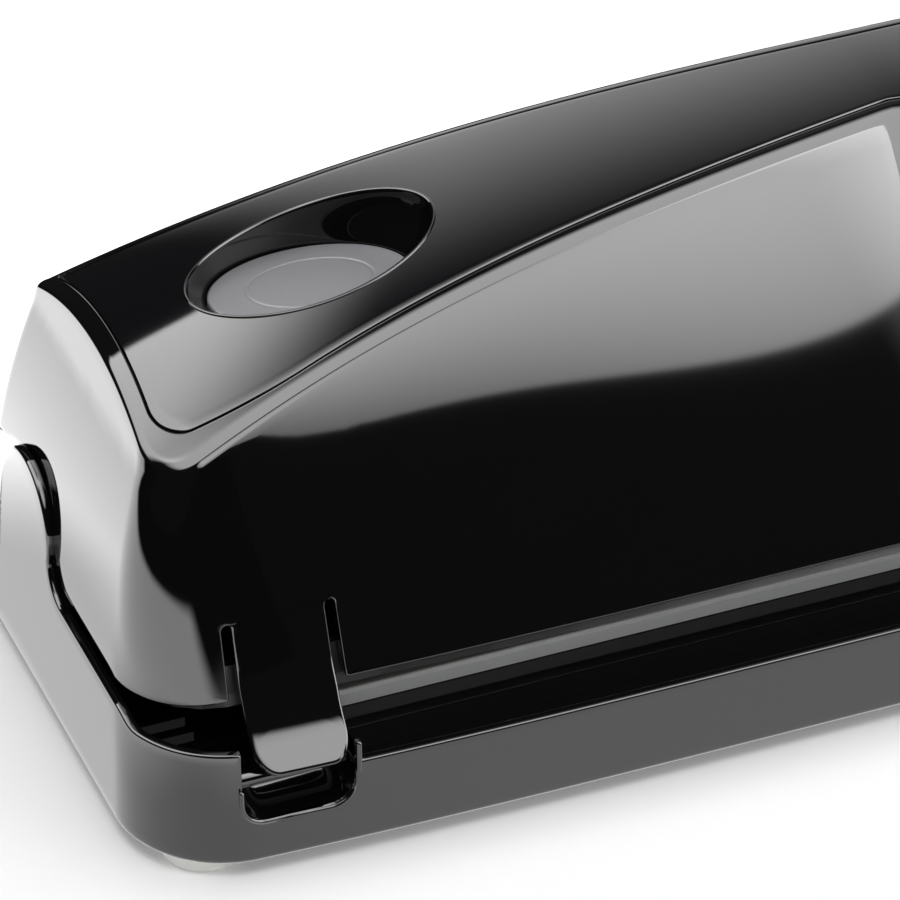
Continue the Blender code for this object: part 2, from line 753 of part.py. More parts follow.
def panel_solid(name, clearance, above, below, look, steps=26, across=6):
    """A slab between the panel's limits, its faces at set distances from the lid's top."""
    limit = 1 - (PANEL_SIDE_MARGIN - clearance) / LID_HALF
    reach = PANEL_CORNER_RADIUS / LID_HALF
    ends = [limit - reach * (1 - sin(pi / 2 * i / 4)) for i in range(5)]
    half = [(limit - reach) * i / (steps // 2) for i in range(steps // 2)] + ends
    top, bottom = [], []
    for share in [-s for s in reversed(half[1:])] + half:
        front, rear = panel_edge(share, clearance)
        rows = []
        for level in (above, -below):
            row = []
            for i in range(across + 1):
                y = front + (rear - front) * i / across
                z = top_height(share, y)
                row.append((share * lid_half(z), y, z + level))
            rows.append(row)
        top.append(rows[0])
        bottom.append(rows[1])
    return sheet_solid(name, top, bottom, look)


def well_centre(side):
    return side * WELL_X, WELL_Y


def well_rings(side, levels, count=40):
    """Rings of a well at given heights and margins; the turn is mirrored on the right."""
    rings = []
    for z, long_half, cross_half in levels:
        outline = ellipse(well_centre(side), long_half, cross_half, -side * WELL_TURN, count)
        rings.append([(x, y, z) for x, y in outline])
    return rings


def make_lid_shell():
    shell = lid_solid("lid_shell", 0.0, LID_RIM_Z, 13, 5, 4, 6, black_gloss())
    hollow = lid_solid("lid_hollow", LID_WALL, PLATE_Z - OVERRUN, 9, 5, 4, 4, None)
    carve(shell, hollow)
    carve(shell, prism("ear_arch", arch_profile(), 0, -BASE_LENGTH / 2, BASE_LENGTH / 2, None))
    recess = panel_solid("panel_recess", SEAM, OVERRUN, PANEL_THICKNESS + GAP, None)
    carve(shell, recess)
    for word, side in SIDES:
        margin = WELL_WALL + GAP
        hole = well_rings(side, ((PAD_Z - PAD_HALF_WIDTH, WELL_HALF_LENGTH + margin, WELL_HALF_WIDTH + margin),
                                 (CREASE_Z + PAD_HALF_WIDTH, WELL_HALF_LENGTH + margin, WELL_HALF_WIDTH + margin)))
        carve(shell, loft("well_hole_" + word, hole, None))
        carve(shell, tab_opening(word, side))
    margin = INLET_WALL + GAP
    carve(shell, on_rear_wall(inlet_block("inlet_hole", margin, -INLET_DEPTH, INLET_DEPTH, None)))
    return shell


def arch_profile():
    """Side view of what is cut from the lid: a rounded step, an arch round the ear, the rear rim."""
    radius = EAR_RADIUS + EAR_CLEARANCE
    drop = LID_RIM_Z + ARCH_CORNER_RADIUS - AXIS_Z
    reach = sqrt((radius + ARCH_CORNER_RADIUS) ** 2 - drop ** 2)
    slope = atan2(-drop, reach)
    low = LID_RIM_Z - OVERRUN
    points = [(AXIS_Y - reach, low)]
    points += arc((AXIS_Y - reach, LID_RIM_Z + ARCH_CORNER_RADIUS), ARCH_CORNER_RADIUS, -pi / 2, slope, 5)
    points += arc((AXIS_Y, AXIS_Z), radius, pi + slope, asin((LID_REAR_RIM_Z - AXIS_Z) / radius), 14)[1:]
    points += [(REAR + OVERRUN, LID_REAR_RIM_Z), (REAR + OVERRUN, low)]
    return points


def tab_opening(word, side):
    """The notch of a latch tab with its two round ended slots."""
    half = TAB_HALF_WIDTH + TAB_SLOT
    middle = TAB_TOP_Z + GAP
    radius = TAB_SLOT / 2
    low = LID_RIM_Z - OVERRUN
    points = [(-half, low), (half, low)]
    points += arc((half - radius, middle), radius, 0.0, pi, 6)
    points += [(TAB_HALF_WIDTH, middle), (-TAB_HALF_WIDTH, middle)]
    points += arc((-half + radius, middle), radius, 0.0, pi, 6)
    outline = [(side * TAB_X + x, z) for x, z in points]
    return prism("tab_opening_" + word, outline, 1, FRONT, LID_FRONT + 8 * OVERRUN, None)


def face_y(share, z):
    """Front face of the lid at a height, carried on in its own slope below the rim."""
    crease = face_point(share, 1.0)[1]
    rise = (z - LID_RIM_Z) / (crease - LID_RIM_Z)
    low = face_point(share, 0.0)[0]
    high = face_point(share, 1.0)[0]
    bulge = FACE_BULGE * 4 * rise * (1 - rise)
    return low + (high - low) * rise - bulge


def tab_point(side, x, z, thickness):
    """Outer or inner face of a tab: the lid's face, then a flare below the rim."""
    share = x / LID_HALF
    bend = LID_RIM_Z + GAP
    if z >= bend:
        return (x, face_y(share, z) + thickness, z)
    centre = face_y(TAB_X / LID_HALF, bend)
    turned = face_y(share, bend) - centre
    heights = [TAB_LOW_Z] + [FOOT_HEIGHT + step[0] for step in TAB_STEPS] + [bend]
    reaches = [-TAB_REACH] + [step[1] for step in TAB_STEPS] + [0.0]
    for low, high, first, last in zip(heights, heights[1:], reaches, reaches[1:]):
        if z <= high:
            return (x, centre + turned + thickness + first + (last - first) * (z - low) / (high - low), z)


def make_lock_tab(word, side):
    """A tab in the slope of the face, flared below the rim, with a hook on its back."""
    heights = [TAB_LOW_Z] + [FOOT_HEIGHT + step[0] for step in TAB_STEPS]
    heights += [LID_RIM_Z + GAP, (LID_RIM_Z + TAB_TOP_Z) / 2, TAB_TOP_Z]
    outer, inner = [], []
    steps = 5
    for z in heights:
        places = [side * TAB_X + TAB_HALF_WIDTH * (2 * i / steps - 1) for i in range(steps + 1)]
        outer.append([tab_point(side, x, z, 0.0) for x in places])
        inner.append([tab_point(side, x, z, TAB_THICKNESS) for x in places])
    tab = sheet_solid("lock_tab_" + word, outer, inner, black_gloss())
    low = (side * TAB_X - TAB_HALF_WIDTH - GAP, TAB_LOW_Z - GAP)
    high = (side * TAB_X + TAB_HALF_WIDTH + GAP, TAB_TOP_Z + 2 * TAB_CORNER_RADIUS)
    trim = rounded_rectangle(low, high, TAB_CORNER_RADIUS)
    keep(tab, prism("tab_trim_" + word, trim, 1, FRONT - OVERRUN, FRONT + BASE_DEPTH / 2, None))
    face = tab_point(side, side * TAB_X, TAB_LOW_Z, TAB_THICKNESS / 2)[1]
    low_z = BAR_Z + BAR_RADIUS + TAB_ROOM
    back = face + TAB_HOOK_DEPTH
    hook = [(face, low_z), (back, low_z), (back, low_z + TAB_HOOK_HEIGHT / 3), (face + TAB_THICKNESS, low_z + TAB_HOOK_HEIGHT)]
    fuse(tab, prism("tab_hook_" + word, hook, 0, side * TAB_X - TAB_HOOK_HALF_WIDTH,
                    side * TAB_X + TAB_HOOK_HALF_WIDTH, None))
    flex = tab_point(side, side * TAB_X, TAB_TOP_Z - GAP, TAB_THICKNESS / 2)
    return pivot(tab, flex)


def make_panel():
    """Crescent panel with two oval wells moulded in one piece with it."""
    panel = panel_solid("control_panel", 0.0, 0.0, PANEL_THICKNESS, black_gloss())
    for word, side in SIDES:
        margin = WELL_WALL
        floor = PAD_Z - PAD_THICKNESS
        cup = loft("well_body_" + word, well_rings(side, (
            (floor, PAD_HALF_LENGTH + PAD_GAP + margin, PAD_HALF_WIDTH + PAD_GAP + margin),
            (CREASE_Z + PAD_HALF_WIDTH, WELL_HALF_LENGTH + margin, WELL_HALF_WIDTH + margin))), None)
        keep(cup, panel_solid("well_trim_" + word, 0.0, -GAP / 2, CREASE_Z - PAD_Z + 2 * PAD_HALF_WIDTH, None))
        fuse(panel, cup)
        carve(panel, loft("well_cut_" + word, well_rings(side, (
            (floor - OVERRUN, PAD_HALF_LENGTH + PAD_GAP, PAD_HALF_WIDTH + PAD_GAP),
            (PAD_Z, PAD_HALF_LENGTH + PAD_GAP, PAD_HALF_WIDTH + PAD_GAP),
            (PAD_Z + POST_HEIGHT, WELL_HALF_LENGTH - WELL_BEVEL, WELL_HALF_WIDTH - WELL_BEVEL),
            (CREASE_Z + PAD_HALF_WIDTH, WELL_HALF_LENGTH + WELL_BEVEL, WELL_HALF_WIDTH + WELL_BEVEL))), None))
        for end in (-1, 1):
            x, y = along_pad(side, end * switch_post_reach())
            top = floor + PAD_THICKNESS / 2
            low = switch_board_top() + SEAT
            fuse(panel, rod("switch_post_" + word + str(end), (x, y, low), 2, top - low, SWITCH_POST_RADIUS, None, 12))
    for number in range(2):
        spot = lens_place(number)
        carve(panel, rod("lens_hole_" + str(number), (spot.x, spot.y, spot.z - OVERRUN), 2,
                         2 * OVERRUN, LENS_RADIUS + SEAT, None, 16))
    return panel


def lens_place(number):
    x = LENS_X + number * LENS_SPACING
    share = x / LID_HALF
    return Vector((x, LENS_Y, top_height(share, LENS_Y)))


def make_lens(name, number):
    """A small signal lens in the right half of the panel."""
    spot = lens_place(number)
    return rod(name, (spot.x, spot.y, spot.z - PANEL_THICKNESS), 2, PANEL_THICKNESS, LENS_RADIUS, pad_grey(), 16)


def along_pad(side, reach):
    """A place on the long axis of a pad."""
    turn = -side * WELL_TURN
    return side * WELL_X + reach * cos(turn), WELL_Y + reach * sin(turn)


def switch_post_reach():
    return PAD_HALF_LENGTH + PAD_GAP + SWITCH_POST_RADIUS


def switch_board_top():
    """Top of the board under a pad, so that the switch stem stays clear of the pressed pad."""
    return PAD_Z - PAD_THICKNESS - PAD_TRAVEL - GAP - SWITCH_STEM_HEIGHT - SWITCH_HEIGHT


def make_switch_board(word, side):
    """A narrow board with one push switch, hung under the well of a pad."""
    top = switch_board_top()
    turn = -side * WELL_TURN
    centre = Vector((side * WELL_X, WELL_Y, 0.0))
    place = Matrix.Translation(centre) @ Matrix.Rotation(turn, 4, "Z")
    low = (-SWITCH_BOARD_HALF_LENGTH, -SWITCH_BOARD_HALF_DEPTH, top - BOARD_THICKNESS)
    board = box("switch_board_" + word, low, (SWITCH_BOARD_HALF_LENGTH, SWITCH_BOARD_HALF_DEPTH, top), board_green())
    board.data.transform(place)
    key = box("switch_body_" + word, (-SWITCH_HALF, -SWITCH_HALF, top - BOARD_THICKNESS / 2),
              (SWITCH_HALF, SWITCH_HALF, top + SWITCH_HEIGHT))
    key.data.transform(place)
    fuse(board, key)
    stem = (centre.x, centre.y, top + SWITCH_HEIGHT - BOARD_THICKNESS / 2)
    fuse(board, rod("switch_stem_" + word, stem, 2, SWITCH_STEM_HEIGHT + BOARD_THICKNESS / 2, SWITCH_STEM_RADIUS, None, 12))
    return board


def make_pad(word, side):
    """An oval pad with a slightly crowned top."""
    low = PAD_Z - PAD_THICKNESS
    rings = well_rings(side, ((low, PAD_HALF_LENGTH, PAD_HALF_WIDTH), (PAD_Z - PAD_CROWN, PAD_HALF_LENGTH, PAD_HALF_WIDTH),
                              (PAD_Z - PAD_CROWN / 3, PAD_HALF_LENGTH - PAD_THICKNESS / 2, PAD_HALF_WIDTH - PAD_THICKNESS / 2),
                              (PAD_Z, PAD_HALF_LENGTH / 2, PAD_HALF_WIDTH / 2)))
    pad = loft("touch_pad_" + word, rings, pad_grey())
    return pivot(pad, (*well_centre(side), PAD_Z))


# Chamber plate

def barrel_section():
    """Side view of the barrel: a ring from the plate's underside round to the rear rim."""
    start = pi + asin((AXIS_Z - PLATE_Z) / BARREL_RADIUS)
    end = 2 * pi + asin((LID_REAR_RIM_Z - 2 * GAP - AXIS_Z) / BARREL_RADIUS)
    centre = (AXIS_Y, AXIS_Z)
    inner = BARREL_RADIUS - PLATE_THICKNESS
    return arc(centre, BARREL_RADIUS, start, end, 14) + arc(centre, inner, end, start, 14)


def saddle(name, x, top):
    """A wall across the barrel that carries a unit."""
    radius = BARREL_RADIUS - PLATE_THICKNESS / 2
    start = pi + asin((AXIS_Z - PLATE_Z - PLATE_THICKNESS / 2) / radius)
    outline = arc((AXIS_Y, AXIS_Z), radius, start, 2 * pi - SADDLE_END, 7)
    outline += [(AXIS_Y + radius * cos(SADDLE_END), top), (AXIS_Y + radius * cos(start), top)]
    return prism(name, outline, 0, x - SADDLE_WIDTH / 2, x + SADDLE_WIDTH / 2, None)


def make_chamber_plate():
    """Tray inside the lid's walls, with a barrel round the hinge and walls for the units."""
    inset = LID_WALL + PLATE_ROOM
    top = PLATE_Z + PLATE_FLANGE
    plate = lid_solid("chamber_plate", inset, PLATE_Z - OVERRUN, 9, 5, 4, 4, black_matt())
    keep(plate, box("plate_slice", (-BASE_LENGTH, FRONT, PLATE_Z), (BASE_LENGTH, AXIS_Y - BARREL_JOIN, top)))
    hollow = lid_solid("plate_hollow", inset + PLATE_FLANGE_WALL, PLATE_Z - OVERRUN, 9, 5, 4, 4, None)
    keep(hollow, box("hollow_slice", (-BASE_LENGTH, FRONT, PLATE_Z + PLATE_THICKNESS), (BASE_LENGTH, AXIS_Y, top + OVERRUN)))
    carve(plate, hollow)
    half = barrel_half()
    fuse(plate, prism("barrel", barrel_section(), 0, -half, half, None))
    for word, side in SIDES:
        cheek = rod("plate_cheek_" + word, (side * half, AXIS_Y, AXIS_Z), 0, -side * CHEEK_THICKNESS,
                    BARREL_RADIUS - PLATE_THICKNESS / 2, None, 40)
        keep(cheek, box("cheek_trim_" + word, (-BASE_LENGTH, AXIS_Y - BARREL_RADIUS, FOOT_HEIGHT),
                        (BASE_LENGTH, AXIS_Y + BARREL_RADIUS * cos(SADDLE_END), LID_REAR_RIM_Z - GAP)))
        fuse(plate, cheek)
        carve(plate, rod("plate_bore_" + word, (side * (half + OVERRUN), AXIS_Y, AXIS_Z), 0,
                         -side * (CHEEK_THICKNESS + 2 * OVERRUN), PIN_RADIUS + PIN_CLEARANCE, None))
    spots = [MOTOR_X - MOTOR_LENGTH / 4, MOTOR_X + MOTOR_LENGTH / 4]
    for number, x in enumerate(spots):
        fuse(plate, saddle("motor_saddle_" + str(number), x, MOTOR_Z - MOTOR_SADDLE_DROP))
    carve(plate, rod("motor_seat", (MOTOR_X - MOTOR_LENGTH / 2, UNIT_Y, MOTOR_Z), 0, MOTOR_LENGTH, MOTOR_RADIUS + SEAT, None, 28))
    spots = [head_x() + step * HEAD_LENGTH / 3 for step in (-1, 1)]
    spots += [CORE_X + step * CORE_HALF_LENGTH / 2 for step in (-1, 1)]
    for number, x in enumerate(spots):
        fuse(plate, saddle("unit_saddle_" + str(number), x, UNIT_FLOOR))
    for number, (x, y) in enumerate(board_posts()):
        fuse(plate, rod("board_post_" + str(number), (x, y, PLATE_Z + PLATE_THICKNESS / 2), 2,
                        POST_HEIGHT + PLATE_THICKNESS / 2, POST_RADIUS, None, 12))
    return plate


def make_hinge_pin(word, side):
    """A plain pin from the blind bore of an ear through the cheek of the chamber plate."""
    outer = ear_inner() + WALL - EAR_SKIN - GAP
    inner = barrel_half() - CHEEK_THICKNESS - GAP
    return rod("hinge_pin_" + word, (side * inner, AXIS_Y, AXIS_Z), 0, side * (outer - inner), PIN_RADIUS, steel(), 24)


def strip(name, outline, half_length, look):
    return prism(name, outline, 0, -half_length, half_length, look)


def make_seal_parts():
    """Silicone strip on the deck; bar, heating wire and tape under the chamber plate."""
    low = DECK_Z + SEAT
    crown = PRESS_TOP_Z - PRESS_HALF_WIDTH / 2
    outline = [(PRESS_Y - PRESS_HALF_WIDTH, low), (PRESS_Y + PRESS_HALF_WIDTH, low)]
    for i in range(7):
        turn = pi * i / 6
        outline.append((PRESS_Y + PRESS_HALF_WIDTH * cos(turn), crown + PRESS_HALF_WIDTH / 2 * sin(turn)))
    strip("pressure_strip", outline, PRESS_HALF_LENGTH, rubber_grey())
    tape_low = PRESS_TOP_Z + GAP
    wire_low = tape_low + TAPE_THICKNESS + GAP / 3
    bar_low = wire_low + HEATER_THICKNESS + GAP / 3
    tape = [(PRESS_Y - TAPE_HALF_WIDTH, tape_low), (PRESS_Y + TAPE_HALF_WIDTH, tape_low),
            (PRESS_Y + TAPE_HALF_WIDTH, tape_low + TAPE_THICKNESS), (PRESS_Y - TAPE_HALF_WIDTH, tape_low + TAPE_THICKNESS)]
    strip("release_tape", tape, PRESS_HALF_LENGTH, rubber_grey())
    wire = [(PRESS_Y - HEATER_HALF_WIDTH, wire_low), (PRESS_Y + HEATER_HALF_WIDTH, wire_low),
            (PRESS_Y + HEATER_HALF_WIDTH, wire_low + HEATER_THICKNESS),
            (PRESS_Y - HEATER_HALF_WIDTH, wire_low + HEATER_THICKNESS)]
    strip("heater_strip", wire, PRESS_HALF_LENGTH, steel())
    top = PLATE_Z - SEAT
    foot = SEAL_BAR_HALF_WIDTH + HEATER_HALF_WIDTH / 2
    bar = [(PRESS_Y - SEAL_BAR_HALF_WIDTH, bar_low), (PRESS_Y + SEAL_BAR_HALF_WIDTH, bar_low),
           (PRESS_Y + foot, top), (PRESS_Y - foot, top)]
    strip("seal_bar", bar, PRESS_HALF_LENGTH, black_matt())


# Pump, valve and hose

def head_x():
    return MOTOR_X + MOTOR_LENGTH / 2 + GAP + HEAD_LENGTH / 2


def make_motor():
    start = MOTOR_X - MOTOR_LENGTH / 2
    motor = rod("pump_motor", (start, UNIT_Y, MOTOR_Z), 0, MOTOR_LENGTH, MOTOR_RADIUS, steel(), 28)
    fuse(motor, rod("motor_cap", (start - MOTOR_CAP_LENGTH, UNIT_Y, MOTOR_Z), 0,
                    MOTOR_CAP_LENGTH + MOTOR_CAP_LENGTH, MOTOR_CAP_RADIUS, None, 24))
    fuse(motor, rod("motor_hub", (start - MOTOR_HUB_LENGTH, UNIT_Y, MOTOR_Z), 0,
                    2 * MOTOR_HUB_LENGTH, MOTOR_HUB_RADIUS, None, 16))
    return motor


def make_pump_head():
    """Crankcase with a finned cylinder and a hose nozzle."""
    x = head_x()
    low, high = x - HEAD_LENGTH / 2, x + HEAD_LENGTH / 2
    floor = UNIT_FLOOR + SEAT
    outline = rounded_rectangle((UNIT_Y - HEAD_HALF_DEPTH, floor), (UNIT_Y + HEAD_HALF_DEPTH, floor + HEAD_HEIGHT), HEAD_RADIUS, 3)
    head = prism("pump_head", outline, 0, low, high, black_matt())
    y = UNIT_Y + HEAD_HALF_DEPTH - FIN_RADIUS
    top = floor + HEAD_HEIGHT
    fuse(head, rod("pump_cylinder", (x, y, top - HEAD_RADIUS), 2, CYLINDER_HEIGHT + HEAD_RADIUS, CYLINDER_RADIUS, None, 16))
    for number in range(PUMP_FINS):
        fuse(head, rod("pump_fin_" + str(number), (x, y, top + FIN_THICKNESS + number * FIN_PITCH), 2,
                       FIN_THICKNESS, FIN_RADIUS, None, 16))
    fuse(head, rod("pump_nozzle", (high - GAP, UNIT_Y, NOZZLE_Z), 0, NOZZLE_LENGTH, NOZZLE_RADIUS, None, 14))
    return head


def make_valve():
    """Chamber valve on the plate with a nozzle on its cap."""
    low = PLATE_Z + PLATE_THICKNESS + SEAT
    valve = rod("vent_valve", (VALVE_X, VALVE_Y, low), 2, VALVE_HEIGHT, VALVE_RADIUS, black_matt(), 24)
    fuse(valve, rod("valve_cap", (VALVE_X, VALVE_Y, low + VALVE_HEIGHT - VALVE_CAP_HEIGHT), 2,
                    VALVE_CAP_HEIGHT, VALVE_CAP_RADIUS, None, 24))
    fuse(valve, rod("valve_nozzle", (VALVE_X, VALVE_Y, low + VALVE_HEIGHT - GAP), 2, NOZZLE_LENGTH, NOZZLE_RADIUS, None, 14))
    return valve


def make_hose():
    """Hose in one smooth bend from the pump's nozzle to the valve's."""
    start = Vector((head_x() + HEAD_LENGTH / 2 + NOZZLE_LENGTH - HOSE_OVERLAP, UNIT_Y, NOZZLE_Z))
    end = Vector((VALVE_X, VALVE_Y, PLATE_Z + PLATE_THICKNESS + VALVE_HEIGHT + NOZZLE_LENGTH - HOSE_OVERLAP))
    out = start + Vector((HOSE_OVERLAP, 0.0, 0.0))
    rise = end + Vector((0.0, 0.0, HOSE_OVERLAP))
    pull_out = out + Vector((HOSE_SWEEP, 0.0, 0.0))
    pull_rise = rise + Vector((0.0, 0.0, HOSE_SWEEP))
    path = [start]
    steps = 10
    for i in range(steps + 1):
        t = i / steps
        path.append(out * (1 - t) ** 3 + pull_out * 3 * t * (1 - t) ** 2 + pull_rise * 3 * t ** 2 * (1 - t) + rise * t ** 3)
    path.append(end)
    rings = []
    side = Vector((0.0, 1.0, 0.0))
    for i, point in enumerate(path):
        along = (path[min(i + 1, len(path) - 1)] - path[max(i - 1, 0)]).normalized()
        side = (side - along * side.dot(along)).normalized()
        up = along.cross(side)
        rings.append([(point + (side * cos(a) + up * sin(a)) * radius) for radius in (HOSE_RADIUS, HOSE_BORE)
                      for a in [2 * pi * k / HOSE_SIDES for k in range(HOSE_SIDES)]])
    points = [p for ring in rings for p in ring]
    faces = []
    count = HOSE_SIDES
    last = 2 * count * (len(rings) - 1)
    for k in range(count):
        n = (k + 1) % count
        for level in range(len(rings) - 1):
            for layer in (0, count):
                low = 2 * count * level + layer
                faces.append((low + k, low + n, low + 2 * count + n, low + 2 * count + k))
        for end_ring in (0, last):
            faces.append((end_ring + k, end_ring + n, end_ring + count + n, end_ring + count + k))
    return solid("vacuum_hose", points, faces, rubber_grey())


# Transformer and boards

def make_transformer():
    """Laminated core of three legs, and the winding round its middle leg."""
    floor = UNIT_FLOOR + SEAT
    core = box("transformer_core", (CORE_X - CORE_HALF_LENGTH, UNIT_Y - CORE_HALF_DEPTH, floor),
               (CORE_X + CORE_HALF_LENGTH, UNIT_Y + CORE_HALF_DEPTH, floor + CORE_HEIGHT), steel())
    low, high = floor + CORE_LEG, floor + CORE_HEIGHT - CORE_LEG
    for word, side in SIDES:
        ends = sorted((CORE_X + side * CORE_LEG, CORE_X + side * (CORE_LEG + CORE_WINDOW)))
        carve(core, box("core_window_" + word, (ends[0], UNIT_Y - CORE_HALF_DEPTH - GAP, low),
                        (ends[1], UNIT_Y + CORE_HALF_DEPTH + GAP, high)))
    reach = CORE_LEG + CORE_WINDOW - GAP
    outline = rounded_rectangle((CORE_X - reach, UNIT_Y - COIL_HALF_DEPTH), (CORE_X + reach, UNIT_Y + COIL_HALF_DEPTH), CORE_LEG, 4)
    coil = prism("transformer_coil", outline, 2, low + GAP, high - GAP, copper())
    carve(coil, box("coil_bore", (CORE_X - CORE_LEG - GAP, UNIT_Y - CORE_HALF_DEPTH - GAP, low - GAP),
                    (CORE_X + CORE_LEG + GAP, UNIT_Y + CORE_HALF_DEPTH + GAP, high + GAP)))
    return core, coil


def board_posts():
    reach, depth = BOARD_HALF_LENGTH - POST_INSET, BOARD_HALF_DEPTH - POST_INSET
    return [(BOARD_X + i * reach, BOARD_Y + j * depth) for i in (-1, 1) for j in (-1, 1)]


def make_main_board():
    """Board on four posts with capacitors, a relay and a finned heat sink."""
    low = PLATE_Z + PLATE_THICKNESS + POST_HEIGHT + SEAT
    top = low + BOARD_THICKNESS
    board = box("main_board", (BOARD_X - BOARD_HALF_LENGTH, BOARD_Y - BOARD_HALF_DEPTH, low),
                (BOARD_X + BOARD_HALF_LENGTH, BOARD_Y + BOARD_HALF_DEPTH, top), board_green())
    sunk = top - BOARD_THICKNESS / 2
    for number in range(2):
        x = BOARD_X - BOARD_HALF_LENGTH / 2 + number * 3 * CAN_RADIUS
        fuse(board, rod("capacitor_" + str(number), (x, BOARD_Y, sunk), 2, CAN_HEIGHT, CAN_RADIUS, None, 16))
    x = BOARD_X + BOARD_HALF_LENGTH / 4
    fuse(board, box("relay", (x, BOARD_Y - RELAY_SIZE[1] / 2, sunk), (x + RELAY_SIZE[0], BOARD_Y + RELAY_SIZE[1] / 2, sunk + RELAY_SIZE[2])))
    for number in range(3):
        fin = BOARD_X + BOARD_HALF_LENGTH - POST_INSET - (number + 1) * SINK_PITCH + SINK_PITCH
        low_corner = (fin, BOARD_Y - SINK_SIZE[1] / 2, sunk)
        fuse(board, box("sink_fin_" + str(number), low_corner, (fin + SINK_SIZE[0], BOARD_Y + SINK_SIZE[1] / 2, sunk + SINK_SIZE[2])))
    return board


# Mains inlet

def rear_wall_frame():
    """Place and lean of the inlet on the lid's rear wall."""
    share = INLET_X / LID_HALF
    top = top_height(share, REAR_EDGE_Y)
    lean = atan2(LID_REAR - REAR_EDGE_Y, top - LID_RIM_Z)
    y = LID_REAR + (REAR_EDGE_Y - LID_REAR) * (INLET_Z - LID_RIM_Z) / (top - LID_RIM_Z)
    return Matrix.Translation((INLET_X, y, INLET_Z)) @ Matrix.Rotation(lean, 4, "X")


def on_rear_wall(item):
    item.data.transform(rear_wall_frame())
    return item


def inlet_block(name, margin, low, high, look):
    """A round cornered block square to the rear wall."""
    reach = (INLET_HALF_WIDTH + margin, INLET_HALF_HEIGHT + margin)
    outline = rounded_rectangle((-reach[0], -reach[1]), reach, INLET_RADIUS + margin, 4)
    return prism(name, outline, 1, low, high, look)


def make_inlet():
    """Socket shell with a flange outside the wall, and its two pins."""
    outside = SEAT + INLET_FLANGE_THICKNESS
    body = on_rear_wall(inlet_block("mains_inlet", INLET_WALL, -INLET_DEPTH, outside - SEAT, black_matt()))
    flange = inlet_block("inlet_flange", INLET_WALL + INLET_FLANGE, SEAT, outside, None)
    fuse(body, on_rear_wall(flange))
    carve(body, on_rear_wall(inlet_block("inlet_recess", 0.0, INLET_WALL - INLET_DEPTH, INLET_DEPTH, None)))
    for word, side in SIDES:
        start = (side * INLET_PIN_X, INLET_WALL / 2 - INLET_DEPTH, 0.0)
        hole = rod("inlet_pin_hole_" + word, start, 1, INLET_PIN_LENGTH, INLET_PIN_RADIUS + SEAT, None, 12)
        carve(body, on_rear_wall(hole))
        start = (side * INLET_PIN_X, INLET_WALL / 2 - INLET_DEPTH + SEAT, 0.0)
        on_rear_wall(rod("inlet_pin_" + word, start, 1, INLET_PIN_LENGTH, INLET_PIN_RADIUS, steel(), 12))
    return body


def build():
    remove_everything()
    make_base_shell()
    make_base_deck()
    make_gasket("lower_gasket", DECK_Z + SEAT, GASKET_MEET_Z - GAP)
    make_gasket("upper_gasket", GASKET_MEET_Z, PLATE_Z - SEAT)
    make_seal_parts()
    for word, side in SIDES:
        make_catch_bar(word, side)
        make_hinge_pin(word, side)
        for place, step in (("front", -1), ("rear", 1)):
            make_foot("foot_" + place + "_" + word, side, step)
    make_lid_shell()
    make_panel()
    make_lens("signal_lens_inner", 0)
    make_lens("signal_lens_outer", 1)
    for word, side in SIDES:
        make_lock_tab(word, side)
        make_pad(word, side)
        make_switch_board(word, side)
    make_chamber_plate()
    make_motor()
    make_pump_head()
    make_valve()
    make_hose()
    make_transformer()
    make_main_board()
    make_inlet()


build()
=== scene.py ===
"""Looks of the bar type vacuum packing machine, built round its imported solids.

The housing is black ABS with a polished mould finish, so its outer shells are made
again as fine, smooth surfaces: the lid, the tub, the panel, the wells, the pads and
the latch tabs. Lengths are in metres, and the object stands as in the frame.
"""

import json
from math import acos, atan2, hypot, pi, radians

import bmesh
import bpy
import numpy as np
from mathutils import Matrix, Vector


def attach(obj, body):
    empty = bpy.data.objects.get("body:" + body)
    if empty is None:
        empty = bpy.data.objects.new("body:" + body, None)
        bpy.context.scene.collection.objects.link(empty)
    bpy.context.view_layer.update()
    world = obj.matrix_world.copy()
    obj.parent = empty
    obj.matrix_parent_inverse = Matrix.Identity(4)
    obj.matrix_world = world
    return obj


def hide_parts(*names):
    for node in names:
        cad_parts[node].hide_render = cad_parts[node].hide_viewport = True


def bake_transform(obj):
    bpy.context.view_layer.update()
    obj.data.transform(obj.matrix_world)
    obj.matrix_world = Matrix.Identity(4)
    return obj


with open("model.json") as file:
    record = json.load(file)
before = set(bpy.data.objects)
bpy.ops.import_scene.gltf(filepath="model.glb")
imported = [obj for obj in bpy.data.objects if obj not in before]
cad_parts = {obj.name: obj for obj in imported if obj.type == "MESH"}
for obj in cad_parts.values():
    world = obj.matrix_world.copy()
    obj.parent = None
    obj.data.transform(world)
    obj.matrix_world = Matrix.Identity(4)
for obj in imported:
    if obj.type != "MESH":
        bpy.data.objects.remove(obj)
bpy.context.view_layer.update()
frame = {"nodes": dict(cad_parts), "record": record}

MM = 0.001

# Sizes of the base
BASE_LENGTH = 0.400
BASE_DEPTH = 0.1185
FOOT = 0.003
FRONT = -BASE_DEPTH / 2
REAR = BASE_DEPTH / 2
WALL = 0.0024
TUB_RADIUS = 0.025
TUB_REAR_RADIUS = 0.012
TUB_BOW = 0.0023
TUB_DRAFT = 0.0276
TUB_EDGE = 0.0014
FLOOR_HALF = 0.130
NICK = 0.7 * MM

# Heights of the tub's lip, and where it climbs from the corner to the side
FRONT_LIP = 0.0238
CORNER_LIP = 0.0315
SIDE_LIP = 0.0340
REAR_LIP = 0.0210
RISE_FROM = FRONT + 0.0195
RISE_TO = FRONT + 0.0265

